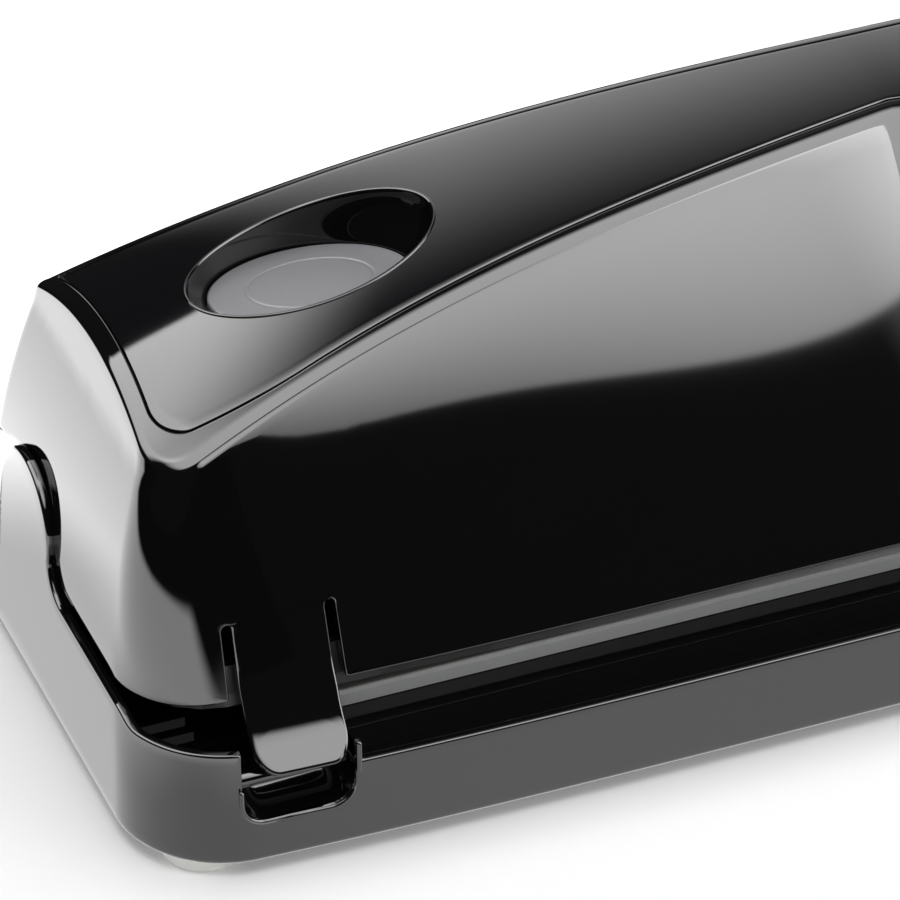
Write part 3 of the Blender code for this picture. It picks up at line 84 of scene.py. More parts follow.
# The hinge's axis and the ear round it
AXIS_Y = FRONT + 0.085
AXIS_Z = 0.044
EAR = 0.015
EAR_REACH = 0.023
EAR_FILLET = 0.0085
EAR_FOOT = 0.017
REAR_FILLET = 0.005

# The lid's lower edge at the ear: places behind the axis, lengths of the climbs, heights, and the fall
EAR_FROM = -0.0225
EAR_CLIMB = 16.5 * MM
EAR_LEVEL = 0.0500
NOTCH_FROM = 0.002
NOTCH_CLIMB = 6 * MM
NOTCH_LEVEL = 0.0557
NOTCH_END = 0.019
FALL_FROM = 12.5 * MM
FALL_BEND = 4 * MM
FALL_SLOPE = 0.27

# The lid: rim, walls and the swept crease between face and top
RIM = 0.037
LID_WALL = 0.0030
LID_HALF = 0.1974
LID_DRAFT = 0.162
LID_FRONT = FRONT + 0.0125
LID_BOW = 0.0038
LID_RADIUS = 0.017
LID_REAR = FRONT + 0.1125
REAR_RIM = 0.049
REAR_RADIUS = 0.003
CREASE_Y = FRONT + 0.0734
CREASE_Z = 0.106
CREASE_SWEEP = 0.19
CREASE_ROUND = 0.0012
CREASE_RADIUS = 0.0125
CREASE_DROP = 0.0105
FACE_BULGE = 0.0012
SIDE_BULGE = 0.0018

# The lid's top: rear edge, arch along the length and crown across
REAR_EDGE_Y = FRONT + 0.1035
REAR_EDGE_Z = 0.1098
ARCH_SQUARE = 0.004
ARCH_CUBE = 0.0156
CROWN = 0.0085
CROWN_CHORD = 0.072

# The panel: thickness, its margins to the lid's edges, corners, the reach of its middle line, and seam
PANEL_THICK = 0.0014
PANEL_SIDE = 0.0045
PANEL_FRONT = 0.0035
PANEL_REAR = 0.004
PANEL_RADIUS = 0.008
PANEL_REAR_RADIUS = 1.5 * MM
PANEL_LIFT = 0.0036
PANEL_REACH = 0.165
SEAM = 0.0004

# Wells and pads
WELL_X = 0.137
WELL_Y = FRONT + 0.0722
WELL_LONG = 0.0289
WELL_WIDE = 0.0152
WELL_TURN = radians(8.2)
PAD_LONG = 0.0227
PAD_WIDE = 0.014
PAD_Z = 0.0969
PAD_THICK = 0.003
PAD_GAP = 0.0004
PAD_TURN = radians(-1.4)

# Latch tabs: a slot on each side of a tab, the flare of its lower end, its low corners, the height of its
# root, and the top of its middle line
TAB_X = 0.1649
TAB_HALF = 0.0106
TAB_SLOT = 0.0023
TAB_TOP = 0.0523
TAB_THICK = 0.0018
TAB_LOW = 0.0243
TAB_BEND = 0.0425
TAB_FLARE = 35.0
TAB_CORNER = 4.8 * MM
TAB_ROOT = TAB_TOP - 0.1 * MM
TAB_SPINE = TAB_TOP - 4 * MM

# Finger pockets with their catch bars and posts
POCKET_X = 0.1671
POCKET_HALF = 0.0125
POCKET_LOW = 0.0135
POCKET_TOP = 0.0223
POCKET_RADIUS = 0.0055
POCKET_SCOOP = 0.0095
POCKET_WALL = 0.8 * MM
BAR_Y = FRONT + 0.0083
BAR_Z = 0.0213
BAR_RADIUS = 0.0017
POST_LOW = (FRONT + 0.0012, 0.0215)
POST_HIGH = (FRONT + 0.0034, 0.0292)
POST_WIDE = 1.3 * MM
POST_EDGE = 0.6 * MM

# Feet: place, and rings as heights and radii; hole of the mains socket as middle and halves
FOOT_X = 0.1845
FOOT_IN = 0.015
FOOT_RINGS = ((0, 0), (0, 0.0078), (0.0004, 0.0086), (0.0012, 0.0092), (0.0038, 0.0092), (0.0038, 0))
INLET = (0.140, 0.048, 0.071)
INLET_HALF = (0.0106, 0.008, 0.0067)
INLET_EDGE = 0.2 * MM

SIDES = (("left", -1), ("right", 1))


# Meshes

def piece(name, grids, look, wrap=(True, True), sharp=38, thick=0.0):
    """One smooth mesh from grids of points: each cell is a face, wrapped rows or columns join their ends,
    equal points become one, and edges sharper than a given angle stay crisp."""
    points, faces, start = [], [], 0
    for grid in grids:
        rows, columns = grid.shape[:2]
        index = start + np.arange(rows * columns).reshape(rows, columns)
        start += rows * columns
        if wrap[0]:
            index = np.vstack((index, index[:1]))
        if wrap[1]:
            index = np.hstack((index, index[:, :1]))
        cells = np.stack((index[:-1, :-1], index[:-1, 1:], index[1:, 1:], index[1:, :-1]), -1)
        faces.append(cells.reshape(-1, 4))
        points.append(grid.reshape(-1, 3))
    mesh = bpy.data.meshes.new(name)
    mesh.from_pydata(np.vstack(points).tolist(), [], np.vstack(faces).tolist())
    made = bpy.data.objects.new(name, mesh)
    bpy.context.scene.collection.objects.link(made)
    close(mesh, sharp)
    mesh.materials.append(look)
    return made


def close(mesh, sharp):
    """Merges equal points, turns the faces outwards and marks the crisp edges."""
    work = bmesh.new()
    work.from_mesh(mesh)
    bmesh.ops.remove_doubles(work, verts=work.verts, dist=2e-6)
    bmesh.ops.dissolve_degenerate(work, edges=work.edges, dist=1e-7)
    bmesh.ops.recalc_face_normals(work, faces=work.faces)
    for face in work.faces:
        face.smooth = True
    for edge in work.edges:
        edge.smooth = edge.calc_face_angle(0.0) < radians(sharp)
    work.to_mesh(mesh)
    work.free()


def cut(target, cutters, sharp=38):
    """Takes the cutters' volume out of the target and keeps the cut mesh as its own."""
    for cutter in cutters:
        change = target.modifiers.new(cutter.name, "BOOLEAN")
        change.operation, change.solver, change.object = "DIFFERENCE", "EXACT", cutter
    seen = target.evaluated_get(bpy.context.evaluated_depsgraph_get())
    cut_mesh = bpy.data.meshes.new_from_object(seen)
    target.modifiers.clear()
    target.data = cut_mesh
    for cutter in cutters:
        bpy.data.objects.remove(cutter, do_unlink=True)
    close(cut_mesh, sharp)
    return target


def both_halves(half):
    """A half outline from the middle of the front to the middle of the rear, closed by its mirror image."""
    return np.concatenate((half, half[-2:0:-1] * np.array([-1.0, 1.0, 1.0])))


def spread(first, last, count):
    """Evenly spaced values without the last one."""
    return np.linspace(first, last, count + 1)[:-1]


def join(parts):
    """Joins the parts of a line, each (x, z), where one number may stand for a row. Returns x, z and the
    count of points before each part."""
    parts = [np.broadcast_arrays(*np.atleast_1d(x, z)) for x, z in parts]
    counts = np.cumsum([0] + [len(x) for x, _ in parts])
    return (*np.concatenate(parts, 1), counts)


def rounded_rim(row, edge, wall):
    """Rows over the rim of a wall from its inner to its outer face, by two quarter circles. row gives the
    points at a drop below the rim and a depth inside the outer face."""
    arc = [(edge * (1 - np.sin(a)), edge * (1 - np.cos(a))) for a in np.linspace(0, pi / 2, 5)[1:]]
    return [row(drop, wall - depth) for drop, depth in arc] + [row(*place) for place in arc[::-1]]


def smooth_step(share):
    share = np.clip(share, 0, 1)
    return share * share * (3 - 2 * share)


# Lid surface

def arch(s):
    """How far the top falls at a share of the half length: a square plus a cube."""
    return ARCH_SQUARE * s ** 2 + ARCH_CUBE * abs(s) ** 3


def side_bulge(z):
    """How far the side bulges at a height: a parabola between the rim and the top of the side."""
    share = np.clip((z - RIM) / (CREASE_Z - ARCH_SQUARE - ARCH_CUBE - RIM), 0, 1)
    return SIDE_BULGE * 4 * share * (1 - share)


def lid_half(z):
    """Half length at a height: the side leans in evenly and bulges."""
    return LID_HALF - LID_DRAFT * (z - RIM) + side_bulge(z)


def crease(s):
    """y of the crease: swept back by a rounded V, with a fourth power that bends its ends further."""
    sweep = np.hypot(s * LID_HALF, CREASE_ROUND) - CREASE_ROUND
    return CREASE_Y - CREASE_SWEEP * sweep - CREASE_DROP * s ** 4


def top_z(s, y):
    """Height of the lid's top: a line from crease to rear edge plus a parabola, less the arch along the
    length."""
    front = crease(s)
    along = (y - front) / (REAR_EDGE_Y - front)
    crown = CROWN * ((REAR_EDGE_Y - front) / CROWN_CHORD) ** 2
    return CREASE_Z + (REAR_EDGE_Z - CREASE_Z) * along + crown * 4 * along * (1 - along) - arch(s)


def top_at(x, y):
    """The same height at a place in plan: the share of the length is found by repeating x over half width."""
    z = np.full(np.shape(x), CREASE_Z)
    for _ in range(4):
        z = top_z(x / lid_half(z), y)
    return z


def lid_plan(w, rise):
    """Share of the length and depth of a wall point. w runs round half the lid: 0 to 1 front, 1 to 2 corner,
    2 to 3 side, 3 to 4 rear corner, 4 to 5 rear. Walls are straight from rim to top edge but for a shallow
    parabola on the face, and the corner radius changes evenly with the rise."""
    radius = LID_RADIUS + (CREASE_RADIUS - LID_RADIUS) * rise

    def face(s):
        s = s * (1 + side_bulge(RIM + (CREASE_Z - arch(s) - RIM) * rise) / LID_HALF)
        low = LID_FRONT + LID_BOW * s ** 4
        return low + (crease(s) - low) * rise - FACE_BULGE * 4 * rise * (1 - rise)

    turn = np.clip(w - 1, 0, 1) * pi / 2
    s_front = np.minimum(w, 1) * (1 - radius / LID_HALF) + radius / LID_HALF * np.sin(turn)
    y_front = face(s_front) + radius * (1 - np.cos(turn))
    back = LID_REAR + (REAR_EDGE_Y - LID_REAR) * rise
    first = face(1.0) + radius
    y_side = first + (back - REAR_RADIUS - first) * (w - 2)
    turn = np.clip(w - 3, 0, 1) * pi / 2
    share = REAR_RADIUS / LID_HALF
    s_rear = np.where(w > 4, (5 - w) * (1 - share), 1 - share * (1 - np.cos(turn)))
    y_rear = back - REAR_RADIUS * (1 - np.sin(turn))
    s = np.where(w <= 2, s_front, np.where(w <= 3, 1.0, s_rear))
    return s, np.where(w <= 2, y_front, np.where(w <= 3, y_side, y_rear))


def lid_top(w):
    """Height of the unrounded top edge at w."""
    s, y = lid_plan(w, 1.0)
    return top_z(s, y)


def lid_wall(w, rise):
    """Point of the lid's outer wall at w and at a share of the height from rim level to top edge."""
    w, rise = np.broadcast_arrays(np.asarray(w, float), np.asarray(rise, float))
    s, y = lid_plan(w, rise)
    z = RIM + (lid_top(w) - RIM) * rise
    return np.stack((s * lid_half(z), y, z), -1)


def unit(v):
    return v / np.linalg.norm(v, axis=-1, keepdims=True)


def lid_normal(w, rise):
    """Outward normal of the wall: cross product of its two central differences."""
    e = 1e-4
    return unit(np.cross(lid_wall(w + e, rise) - lid_wall(w - e, rise),
                         lid_wall(w, rise + e) - lid_wall(w, rise - e)))


def share_of_rise(w, z):
    return (z - RIM) / (lid_top(w) - RIM)


def front_share(x, z):
    """w of a point of the front face from its x and z, by repeated correction."""
    w = x / (LID_HALF - LID_RADIUS)
    for _ in range(6):
        rise = share_of_rise(w, z)
        radius = LID_RADIUS + (CREASE_RADIUS - LID_RADIUS) * rise
        w = x / (lid_half(z) * (1 - radius / LID_HALF))
    return w


def side_share(y, z):
    """w of a point of the side from its y and z, by repeated correction."""
    w = np.full(np.shape(y), 2.5)
    for _ in range(8):
        rise = share_of_rise(w, z)
        first = lid_plan(np.full(np.shape(y), 2.0), rise)[1]
        last = lid_plan(np.full(np.shape(y), 3.0), rise)[1]
        w = 2 + (y - first) / (last - first)
    return w


def arcs(cy, cz, ry, rz, first, last, steps, end=False):
    """Points of an elliptic arc in a plane, by cosine and sine."""
    turn = np.linspace(first, last, steps + 1)
    turn = turn if end else turn[:-1]
    return cy + ry * np.cos(turn), cz + rz * np.sin(turn)


def ear_line(d):
    """Lower edge of the lid inside and behind the ear, d up the wall: a smooth rise behind the ear's front, a
    second one to the notch behind the ear, and a fall to the rear along a hyperbola."""
    past = np.linspace(EAR_FROM, NOTCH_END, 43)

    def level(y):
        bend = y - FALL_FROM
        return (RIM + (EAR_LEVEL - RIM) * smooth_step((y - EAR_FROM) / EAR_CLIMB)
                + (NOTCH_LEVEL - EAR_LEVEL) * smooth_step((y - NOTCH_FROM) / NOTCH_CLIMB)
                - FALL_SLOPE * (bend + np.hypot(bend, FALL_BEND)))

    slope = (level(past + 1e-5) - level(past - 1e-5)) / 2e-5
    long = np.hypot(1, slope)
    return AXIS_Y + past - d * slope / long, level(past) + d / long


def lid_rim(d):
    """Half of the rim line, d up the wall: flat front, notch of the latch tab with round corners, corner,
    side, the line past the ear, rear corner and rear. Returns w, rise and the w that each
    column has at the top edge, so that columns fan out round the notch and the arch."""
    lean = 0.93
    low, lift = RIM + d * lean, d * lean
    inner, outer = TAB_X - TAB_HALF - TAB_SLOT, TAB_X + TAB_HALF + TAB_SLOT
    nick, slot = NICK, TAB_SLOT / 2
    corner = RIM + nick * lean
    fine_from = 0.110
    xs, zs, marks = join((
        (spread(0, fine_from, 36), low),
        (spread(fine_from, inner - nick, 16), low),
        arcs(inner - nick, corner, nick - d, (nick - d) * lean, -pi / 2, 0, 4),
        (inner - d, spread(corner, TAB_TOP, 9)),
        arcs(inner + slot, TAB_TOP, slot + d, slot + lift, pi, pi / 2, 6),
        (spread(inner + slot, outer - slot, 14), TAB_TOP + slot),
        arcs(outer - slot, TAB_TOP, slot + d, slot + lift, pi / 2, 0, 6),
        (outer + d, spread(TAB_TOP, corner, 9)),
        arcs(outer + nick, corner, nick - d, (nick - d) * lean, pi, 3 * pi / 2, 4),
        (outer + nick, low)))
    w_front = front_share(xs, zs)
    w_corner = np.linspace(1, 2, 19)
    y_first = lid_plan(np.array(2.0), np.array(0.0))[1]
    flat = np.linspace(y_first, AXIS_Y + EAR_FROM, 12)[1:-1]
    past, level = ear_line(d)
    ys = np.concatenate((flat, past))
    zs_side = np.concatenate((np.full(len(flat), RIM + d), level))
    w_side = side_share(ys, zs_side)
    w_last = np.linspace(w_side[-1], 3, 4)[1:-1]
    w_rear = np.concatenate((w_last, spread(3, 4, 8), np.linspace(4, 5, 37)))
    w = np.concatenate((w_front, w_corner, w_side, w_rear))
    fall = 1 - smooth_step((w_rear - w_side[-1]) / (3.6 - w_side[-1]))
    rise = np.concatenate((share_of_rise(w_front, zs), share_of_rise(w_corner, RIM + d),
                           share_of_rise(w_side, zs_side),
                           share_of_rise(w_rear, REAR_RIM + d + (level[-1] - REAR_RIM - d) * fall)))
    n_front, n_side = len(w_front), len(w_front) + len(w_corner)
    arch_to = n_side + len(w_side) - 1
    anchors = ((0, 0.0), (marks[1], 0.61), (marks[3], 0.79), (marks[4], 0.822), (marks[7], 1.16),
               (marks[8], 1.6), (n_front, 1.68), (n_side - 1, 2.10), (n_side + len(flat), 2.38),
               (arch_to, 2.95),
               (n_side + len(w_side) + 2, 3.0), (n_side + len(w_side) + 10, 4.0), (len(w) - 1, 5.0))
    top = np.interp(np.arange(len(w)), [a for a, _ in anchors], [b for _, b in anchors])
    return w, rise, top


def seam(w, clear):
    """Plan and height of the panel's outline, clear outside it: crease line and rear edge at set margins,
    straight ends, arcs at the corners. Near the ends the front line lifts away by a parabola."""
    limit = 1 - (PANEL_SIDE - clear) / LID_HALF
    front, rear = PANEL_RADIUS + clear, PANEL_REAR_RADIUS + clear
    turn = np.clip(w - 1, 0, 1) * pi / 2

    def front_y(s):
        return crease(s) + PANEL_FRONT - clear + PANEL_LIFT * np.clip((abs(s) - 0.8) / 0.15, 0, 1.2) ** 2

    s_front = np.minimum(w, 1) * (limit - front / LID_HALF) + front / LID_HALF * np.sin(turn)
    y_front = front_y(s_front) + front * (1 - np.cos(turn))
    last = REAR_EDGE_Y - PANEL_REAR + clear
    first = front_y(limit) + front
    turn = np.clip(w - 3, 0, 1) * pi / 2
    s_rear = np.where(w > 4, (5 - w) * (limit - rear / LID_HALF),
                      limit - rear / LID_HALF * (1 - np.cos(turn)))
    s = np.where(w <= 2, s_front, np.where(w <= 3, limit, s_rear))
    y = np.where(w <= 2, y_front, np.where(w <= 3, first + (last - rear - first) * (w - 2),
                                           last - rear * (1 - np.sin(turn))))
    z = top_z(s, y)
    return np.stack((s * lid_half(z), y, z), -1)


DOWN = np.array([0.0, 0.0, -1.0])


def make_lid(look):
    """The lid as one closed band: wall, rounded top edge, margin, groove and ledge under the panel, inner
    wall and rounded rim, each row carried round the outline."""
    edge, lip, margin = 0.5 * MM, 0.22 * MM, 0.12 * MM
    ledge_in, ledge_top, ledge_foot = 2.2 * MM, 1.8 * MM, 3.2 * MM
    w0, rise0, w1 = lid_rim(edge)
    # How far the rounding of the top edge reaches, by the place on the outline
    leg = np.interp(w1, (0, 0.8, 1, 2, 3, 4, 5), np.array((1.9, 2.0, 2.5, 1.4, 1.4, 3.0, 3.0)) * MM)
    height = lid_top(w1) - RIM
    last = 1 - leg * 0.8 / height
    rows = []
    shares = np.linspace(0, 1, 27) ** 1.2

    def wall(v, depth):
        w = w0 + (w1 - w0) * (1 - (1 - v) ** 2.5)
        rise = rise0 + (last - rise0) * v
        p = lid_wall(w, rise)
        return p - lid_normal(w, rise) * depth if depth else p

    rows += [wall(v, 0.0) for v in shares]
    under, corner = rows[-1], lid_wall(w1, 1.0)
    loop = both_halves(corner)
    along = np.roll(loop, -1, 0) - np.roll(loop, 1, 0)
    inward = unit(np.stack((-along[:, 1], along[:, 0], 0 * along[:, 0]), -1))[:len(corner)]
    over = corner + inward * leg[:, None]
    over[:, 2] = top_at(over[:, 0], over[:, 1])
    for i in range(1, 10):
        t = i / 9
        rows.append(under * (1 - t) ** 2 + corner * 2 * t * (1 - t) + over * t * t)
    lips = [seam(w1, SEAM + lip), seam(w1, SEAM + lip * 0.3) + DOWN * lip * 0.3, seam(w1, SEAM) + DOWN * lip]
    brink = seam(w1, SEAM + lip + margin)
    for t in (0.1, 0.5, 1.0):
        mid = over + (brink - over) * t
        mid[:, 2] = top_at(mid[:, 0], mid[:, 1])
        rows.append(mid)
    ledge = seam(w1, -ledge_in)
    rows += lips + [seam(w1, SEAM) + DOWN * ledge_top, ledge + DOWN * ledge_top, ledge + DOWN * ledge_foot]
    rows += [wall(v, LID_WALL) for v in np.linspace(1, 0, 9)]
    rows += rounded_rim(rim_row, edge, LID_WALL)
    return piece("lid_skin", [np.stack([both_halves(row) for row in rows])], look)


def rim_row(d, depth):
    """A row of the lid's rim: the rim line d up the wall, moved in by a depth square to the wall."""
    w, rise, _ = lid_rim(d)
    return lid_wall(w, rise) - lid_normal(w, rise) * depth


# Panel, wells and pads

def make_panel(look):
    """Crescent slab: rows run from a middle line out over the top, round the edge and back underneath."""
    flat = np.linspace(0, 1, 70)
    w = np.concatenate((flat, np.linspace(1, 2, 13)[1:], np.linspace(2, 3, 26)[1:],
                        np.linspace(3, 4, 7)[1:], (5 - flat[:-1])[::-1]))
    s_mid = PANEL_REACH / LID_HALF * np.clip(np.minimum(w, 5 - w), 0, 1)
    y_mid = (crease(s_mid) + PANEL_FRONT + REAR_EDGE_Y - PANEL_REAR) / 2
    round_edge = 0.3 * MM

    def row(clear, drop, share):
        p = seam(w, -clear)
        s = p[:, 0] / lid_half(p[:, 2])
        s = s + (s_mid - s) * share
        y = p[:, 1] + (y_mid - p[:, 1]) * share
        z = top_z(s, y)
        return np.stack((s * lid_half(z), y, z - drop), -1)

    rows = [row(round_edge, 0.0, t) for t in np.linspace(1, 0, 15)]
    for a in np.linspace(0, pi / 2, 5)[1:]:
        rows.append(row(round_edge * (1 - np.sin(a)), round_edge * (1 - np.cos(a)), 0.0))
    rows += [row(0.0, PANEL_THICK, 0.0), row(0.0, PANEL_THICK, 0.5), row(0.0, PANEL_THICK, 1.0)]
    grid = np.stack([both_halves(line) for line in rows])
    panel = piece("panel_skin", [grid], look, (False, True))
    cutters = []
    low, high, wider = 0.085, 0.125, 0.4 * MM
    for word, side in SIDES:
        rows = [oval(side, WELL_LONG + wider, WELL_WIDE + wider, z) for z in (low, high)]
        middle = np.broadcast_to(np.array([[side * WELL_X, WELL_Y, 1.0]]), rows[0].shape)
        rows = [middle * (1, 1, low)] + rows + [middle * (1, 1, high)]
        cutters.append(piece("well_cutter_" + word, [np.stack(rows)], look, (False, True)))
    return cut(panel, cutters)


def oval(side, long_half, wide_half, z, turn=WELL_TURN, count=144):
    """An ellipse in plan, turned about the middle of a well; the right one is the mirror image."""
    a = np.arange(count) * 2 * pi / count
    u, v = long_half * np.cos(a), wide_half * np.sin(a)
    x = side * (WELL_X - (u * np.cos(turn) - v * np.sin(turn)))
    y = WELL_Y + u * np.sin(turn) + v * np.cos(turn)
    return np.stack((x, y, np.broadcast_to(z, x.shape)), -1)


def make_well(side, word, look):
    """Wall of a well with a fine raised lip: one closed section carried round the ellipse. The lip follows
    the height of the panel, and the wall narrows and turns to the pad's outline in a power of a cosine."""
    level = top_at(*np.moveaxis(oval(side, WELL_LONG, WELL_WIDE, 0.0)[:, :2], 1, 0))
    lip = ((0.62, -0.9), (0.62, 0.0), (0.58, 0.12), (0.45, 0.23), (0.22, 0.28), (-0.02, 0.22), (-0.2, 0.08),
           (-0.32, -0.15))
    rows = []
    for out, up in lip:
        rows.append(oval(side, WELL_LONG + out * MM, WELL_WIDE + out * MM, level + up * MM))
    long_half, wide_half = PAD_LONG + PAD_GAP, PAD_WIDE + PAD_GAP
    below, skirt, flange = 1.2 * MM, 1.0 * MM, 1.6 * MM
    foot = oval(side, long_half, wide_half, PAD_Z - below, PAD_TURN)
    start = rows[-1]
    for t in np.linspace(0, 1, 17)[1:]:
        inward = 1 - np.cos(t * pi / 2) ** 1.15
        row = start + (foot - start) * np.array([inward, inward, 0.0])
        row[:, 2] = start[:, 2] + (foot[:, 2] - start[:, 2]) * t
        rows.append(row)
    low = PAD_Z - PAD_THICK - skirt
    for out in (0.0, flange):
        rows.append(oval(side, long_half + out, wide_half + out, low, PAD_TURN))
    return piece("well_" + word, [np.stack(rows)], look)


def make_pad(side, word, look):
    """Oval pad: a cap, hollow below to clear the switch, with a straight edge, a rounded shoulder and a low
    dome with a fine engraved oval ring, whose groove is a bell curve."""
    def ring(back, z):
        return oval(side, PAD_LONG - back, PAD_WIDE - back, z, PAD_TURN)

    low, roof = PAD_Z - PAD_THICK, PAD_Z - 0.6 * MM
    wall_top, wall_foot, edge = 2 * MM, 1.8 * MM, 0.3 * MM
    rows = [oval(side, 0, 0, roof, PAD_TURN), ring(wall_top, roof), ring(wall_foot, low), ring(edge, low),
            ring(0.0, low + edge)]
    shoulder, crown = 0.6 * MM, 0.3 * MM
    top = PAD_Z - crown
    for a in np.linspace(0, pi / 2, 7):
        rows.append(ring(shoulder * (1 - np.cos(a)), top - shoulder * (1 - np.sin(a))))
    ring_long, ring_wide, ring_deep = 14.0 * MM, 0.35 * MM, 0.16 * MM
    steps = np.concatenate((np.linspace(0.04, 0.3, 8), np.linspace(0.31, 0.45, 19), np.linspace(0.47, 1, 16)))
    for t in steps:
        long_half = (PAD_LONG - shoulder) * (1 - t)
        wide_half = (PAD_WIDE - shoulder) * (1 - t)
        dome = crown * (1 - (1 - t) ** 2)
        groove = ring_deep * np.exp(-((long_half - ring_long) / ring_wide) ** 2)
        rows.append(oval(side, long_half, wide_half, top + dome - groove, PAD_TURN))
    return piece("pad_" + word, [np.stack(rows)], look, (False, True))


# Latch tabs

def tab_curve(z):
    """Distance of a tab in front of the line of the face: a parabola below the height where it bends."""
    return -TAB_FLARE * np.clip(TAB_BEND - z, 0, 1) ** 2


def face_depth(x, z):
    """y of the lid's face at x and z; below the rim that of the rim."""
    high = np.maximum(z, RIM)
    w = front_share(np.abs(x), high)
    return lid_plan(w, share_of_rise(w, high))[1]


def tab_point(x, z):
    return np.stack((x, face_depth(x, z) + tab_curve(z), z), -1)


def tab_outline(side, d):
    """Outline of a tab, d inside it, in x and z: two low round corners and, at the top, the inner halves of
    the slots' round ends."""
    slot, low, half, radius = TAB_SLOT / 2, TAB_LOW + d, TAB_HALF - d, TAB_CORNER - d
    top, small = TAB_ROOT + slot, slot + d
    x_root, z_root = arcs(TAB_HALF + slot, TAB_ROOT, small, small, pi, pi / 2 + 0.25, 6)
    xs, zs, _ = join((
        (spread(0, half - radius, 5), low),
        arcs(half - radius, low + radius, radius, radius, -pi / 2, 0, 10),
        (half, spread(low + radius, TAB_ROOT, 16)),
        (x_root, np.minimum(z_root, top)),
        (spread(x_root[-1] * 0.98, 0, 8), top),
        (0.0, top)))
    xs = np.concatenate((xs, -xs[-2:0:-1]))
    zs = np.concatenate((zs, zs[-2:0:-1]))
    return side * TAB_X + xs, zs


def make_tab(side, word, look):
    """A tab as a pillow: the outline drawn in on the front and on the back, with round edges between."""
    edge = 0.55 * MM
    rows = []

    def row(d, depth, share=0.0):
        xs, zs = tab_outline(side, d)
        mid_z = np.clip(zs, TAB_LOW + TAB_HALF, TAB_SPINE)
        xs = xs + (side * TAB_X - xs) * share
        zs = zs + (mid_z - zs) * share
        p = tab_point(xs, zs)
        e = 1e-5
        up = tab_point(xs, zs + e) - tab_point(xs, zs - e)
        across = tab_point(xs + e, zs) - tab_point(xs - e, zs)
        return p - unit(np.cross(across, up)) * depth

    rows += [row(edge, 0.0, t) for t in np.linspace(1, 0, 16)]
    for a in np.linspace(0, pi / 2, 5)[1:]:
        rows.append(row(edge * (1 - np.sin(a)), edge * (1 - np.cos(a))))
    for a in np.linspace(pi / 2, 0, 5)[:-1]:
        rows.append(row(edge * (1 - np.sin(a)), TAB_THICK - edge * (1 - np.cos(a))))
    rows += [row(edge, TAB_THICK, t) for t in np.linspace(0, 1, 10)]
    return piece("tab_skin_" + word, [np.stack(rows)], look, (False, True))


# Tub

def tub_point(w, z, inset):
    """Point of the tub's wall at w, as for the lid, at a height and at a depth inside the outer face. Walls
    lean by a constant share of the height, the front bows by the fourth power of the share of its length."""
    w, z = np.broadcast_arrays(np.asarray(w, float), np.asarray(z, float))
    draft = TUB_DRAFT * (z - FOOT) + inset
    half, front, rear = BASE_LENGTH / 2 - draft, FRONT + draft, REAR - draft
    radius, back = TUB_RADIUS - inset, TUB_REAR_RADIUS - inset
    flat = half - radius
    turn, turn2 = np.clip(w - 1, 0, 1) * pi / 2, np.clip(w - 3, 0, 1) * pi / 2
    first, last = front + TUB_BOW + radius, rear - back
    x = np.where(w <= 2, np.minimum(w, 1) * flat + radius * np.sin(turn),
                 np.where(w <= 4, half - back * (1 - np.cos(turn2)), (5 - w) * (half - back)))
    y = np.where(w <= 2, front + TUB_BOW * np.minimum(w, 1) ** 4 + radius * (1 - np.cos(turn)),
                 np.where(w <= 3, first + (last - first) * (w - 2), rear - back * (1 - np.sin(turn2))))
    return np.stack((x, y, z), -1)


def tub_front_share(x, z):
    flat = BASE_LENGTH / 2 - TUB_DRAFT * (z - FOOT) - TUB_RADIUS
    return np.where(x <= flat, x / flat, 1 + np.arcsin(np.clip((x - flat) / TUB_RADIUS, 0, 1)) / (pi / 2))


def tub_side_share(y, z):
    draft = TUB_DRAFT * (z - FOOT)
    first, last = FRONT + draft + TUB_BOW + TUB_RADIUS, REAR - draft - TUB_REAR_RADIUS
    return 2 + (y - first) / (last - first)


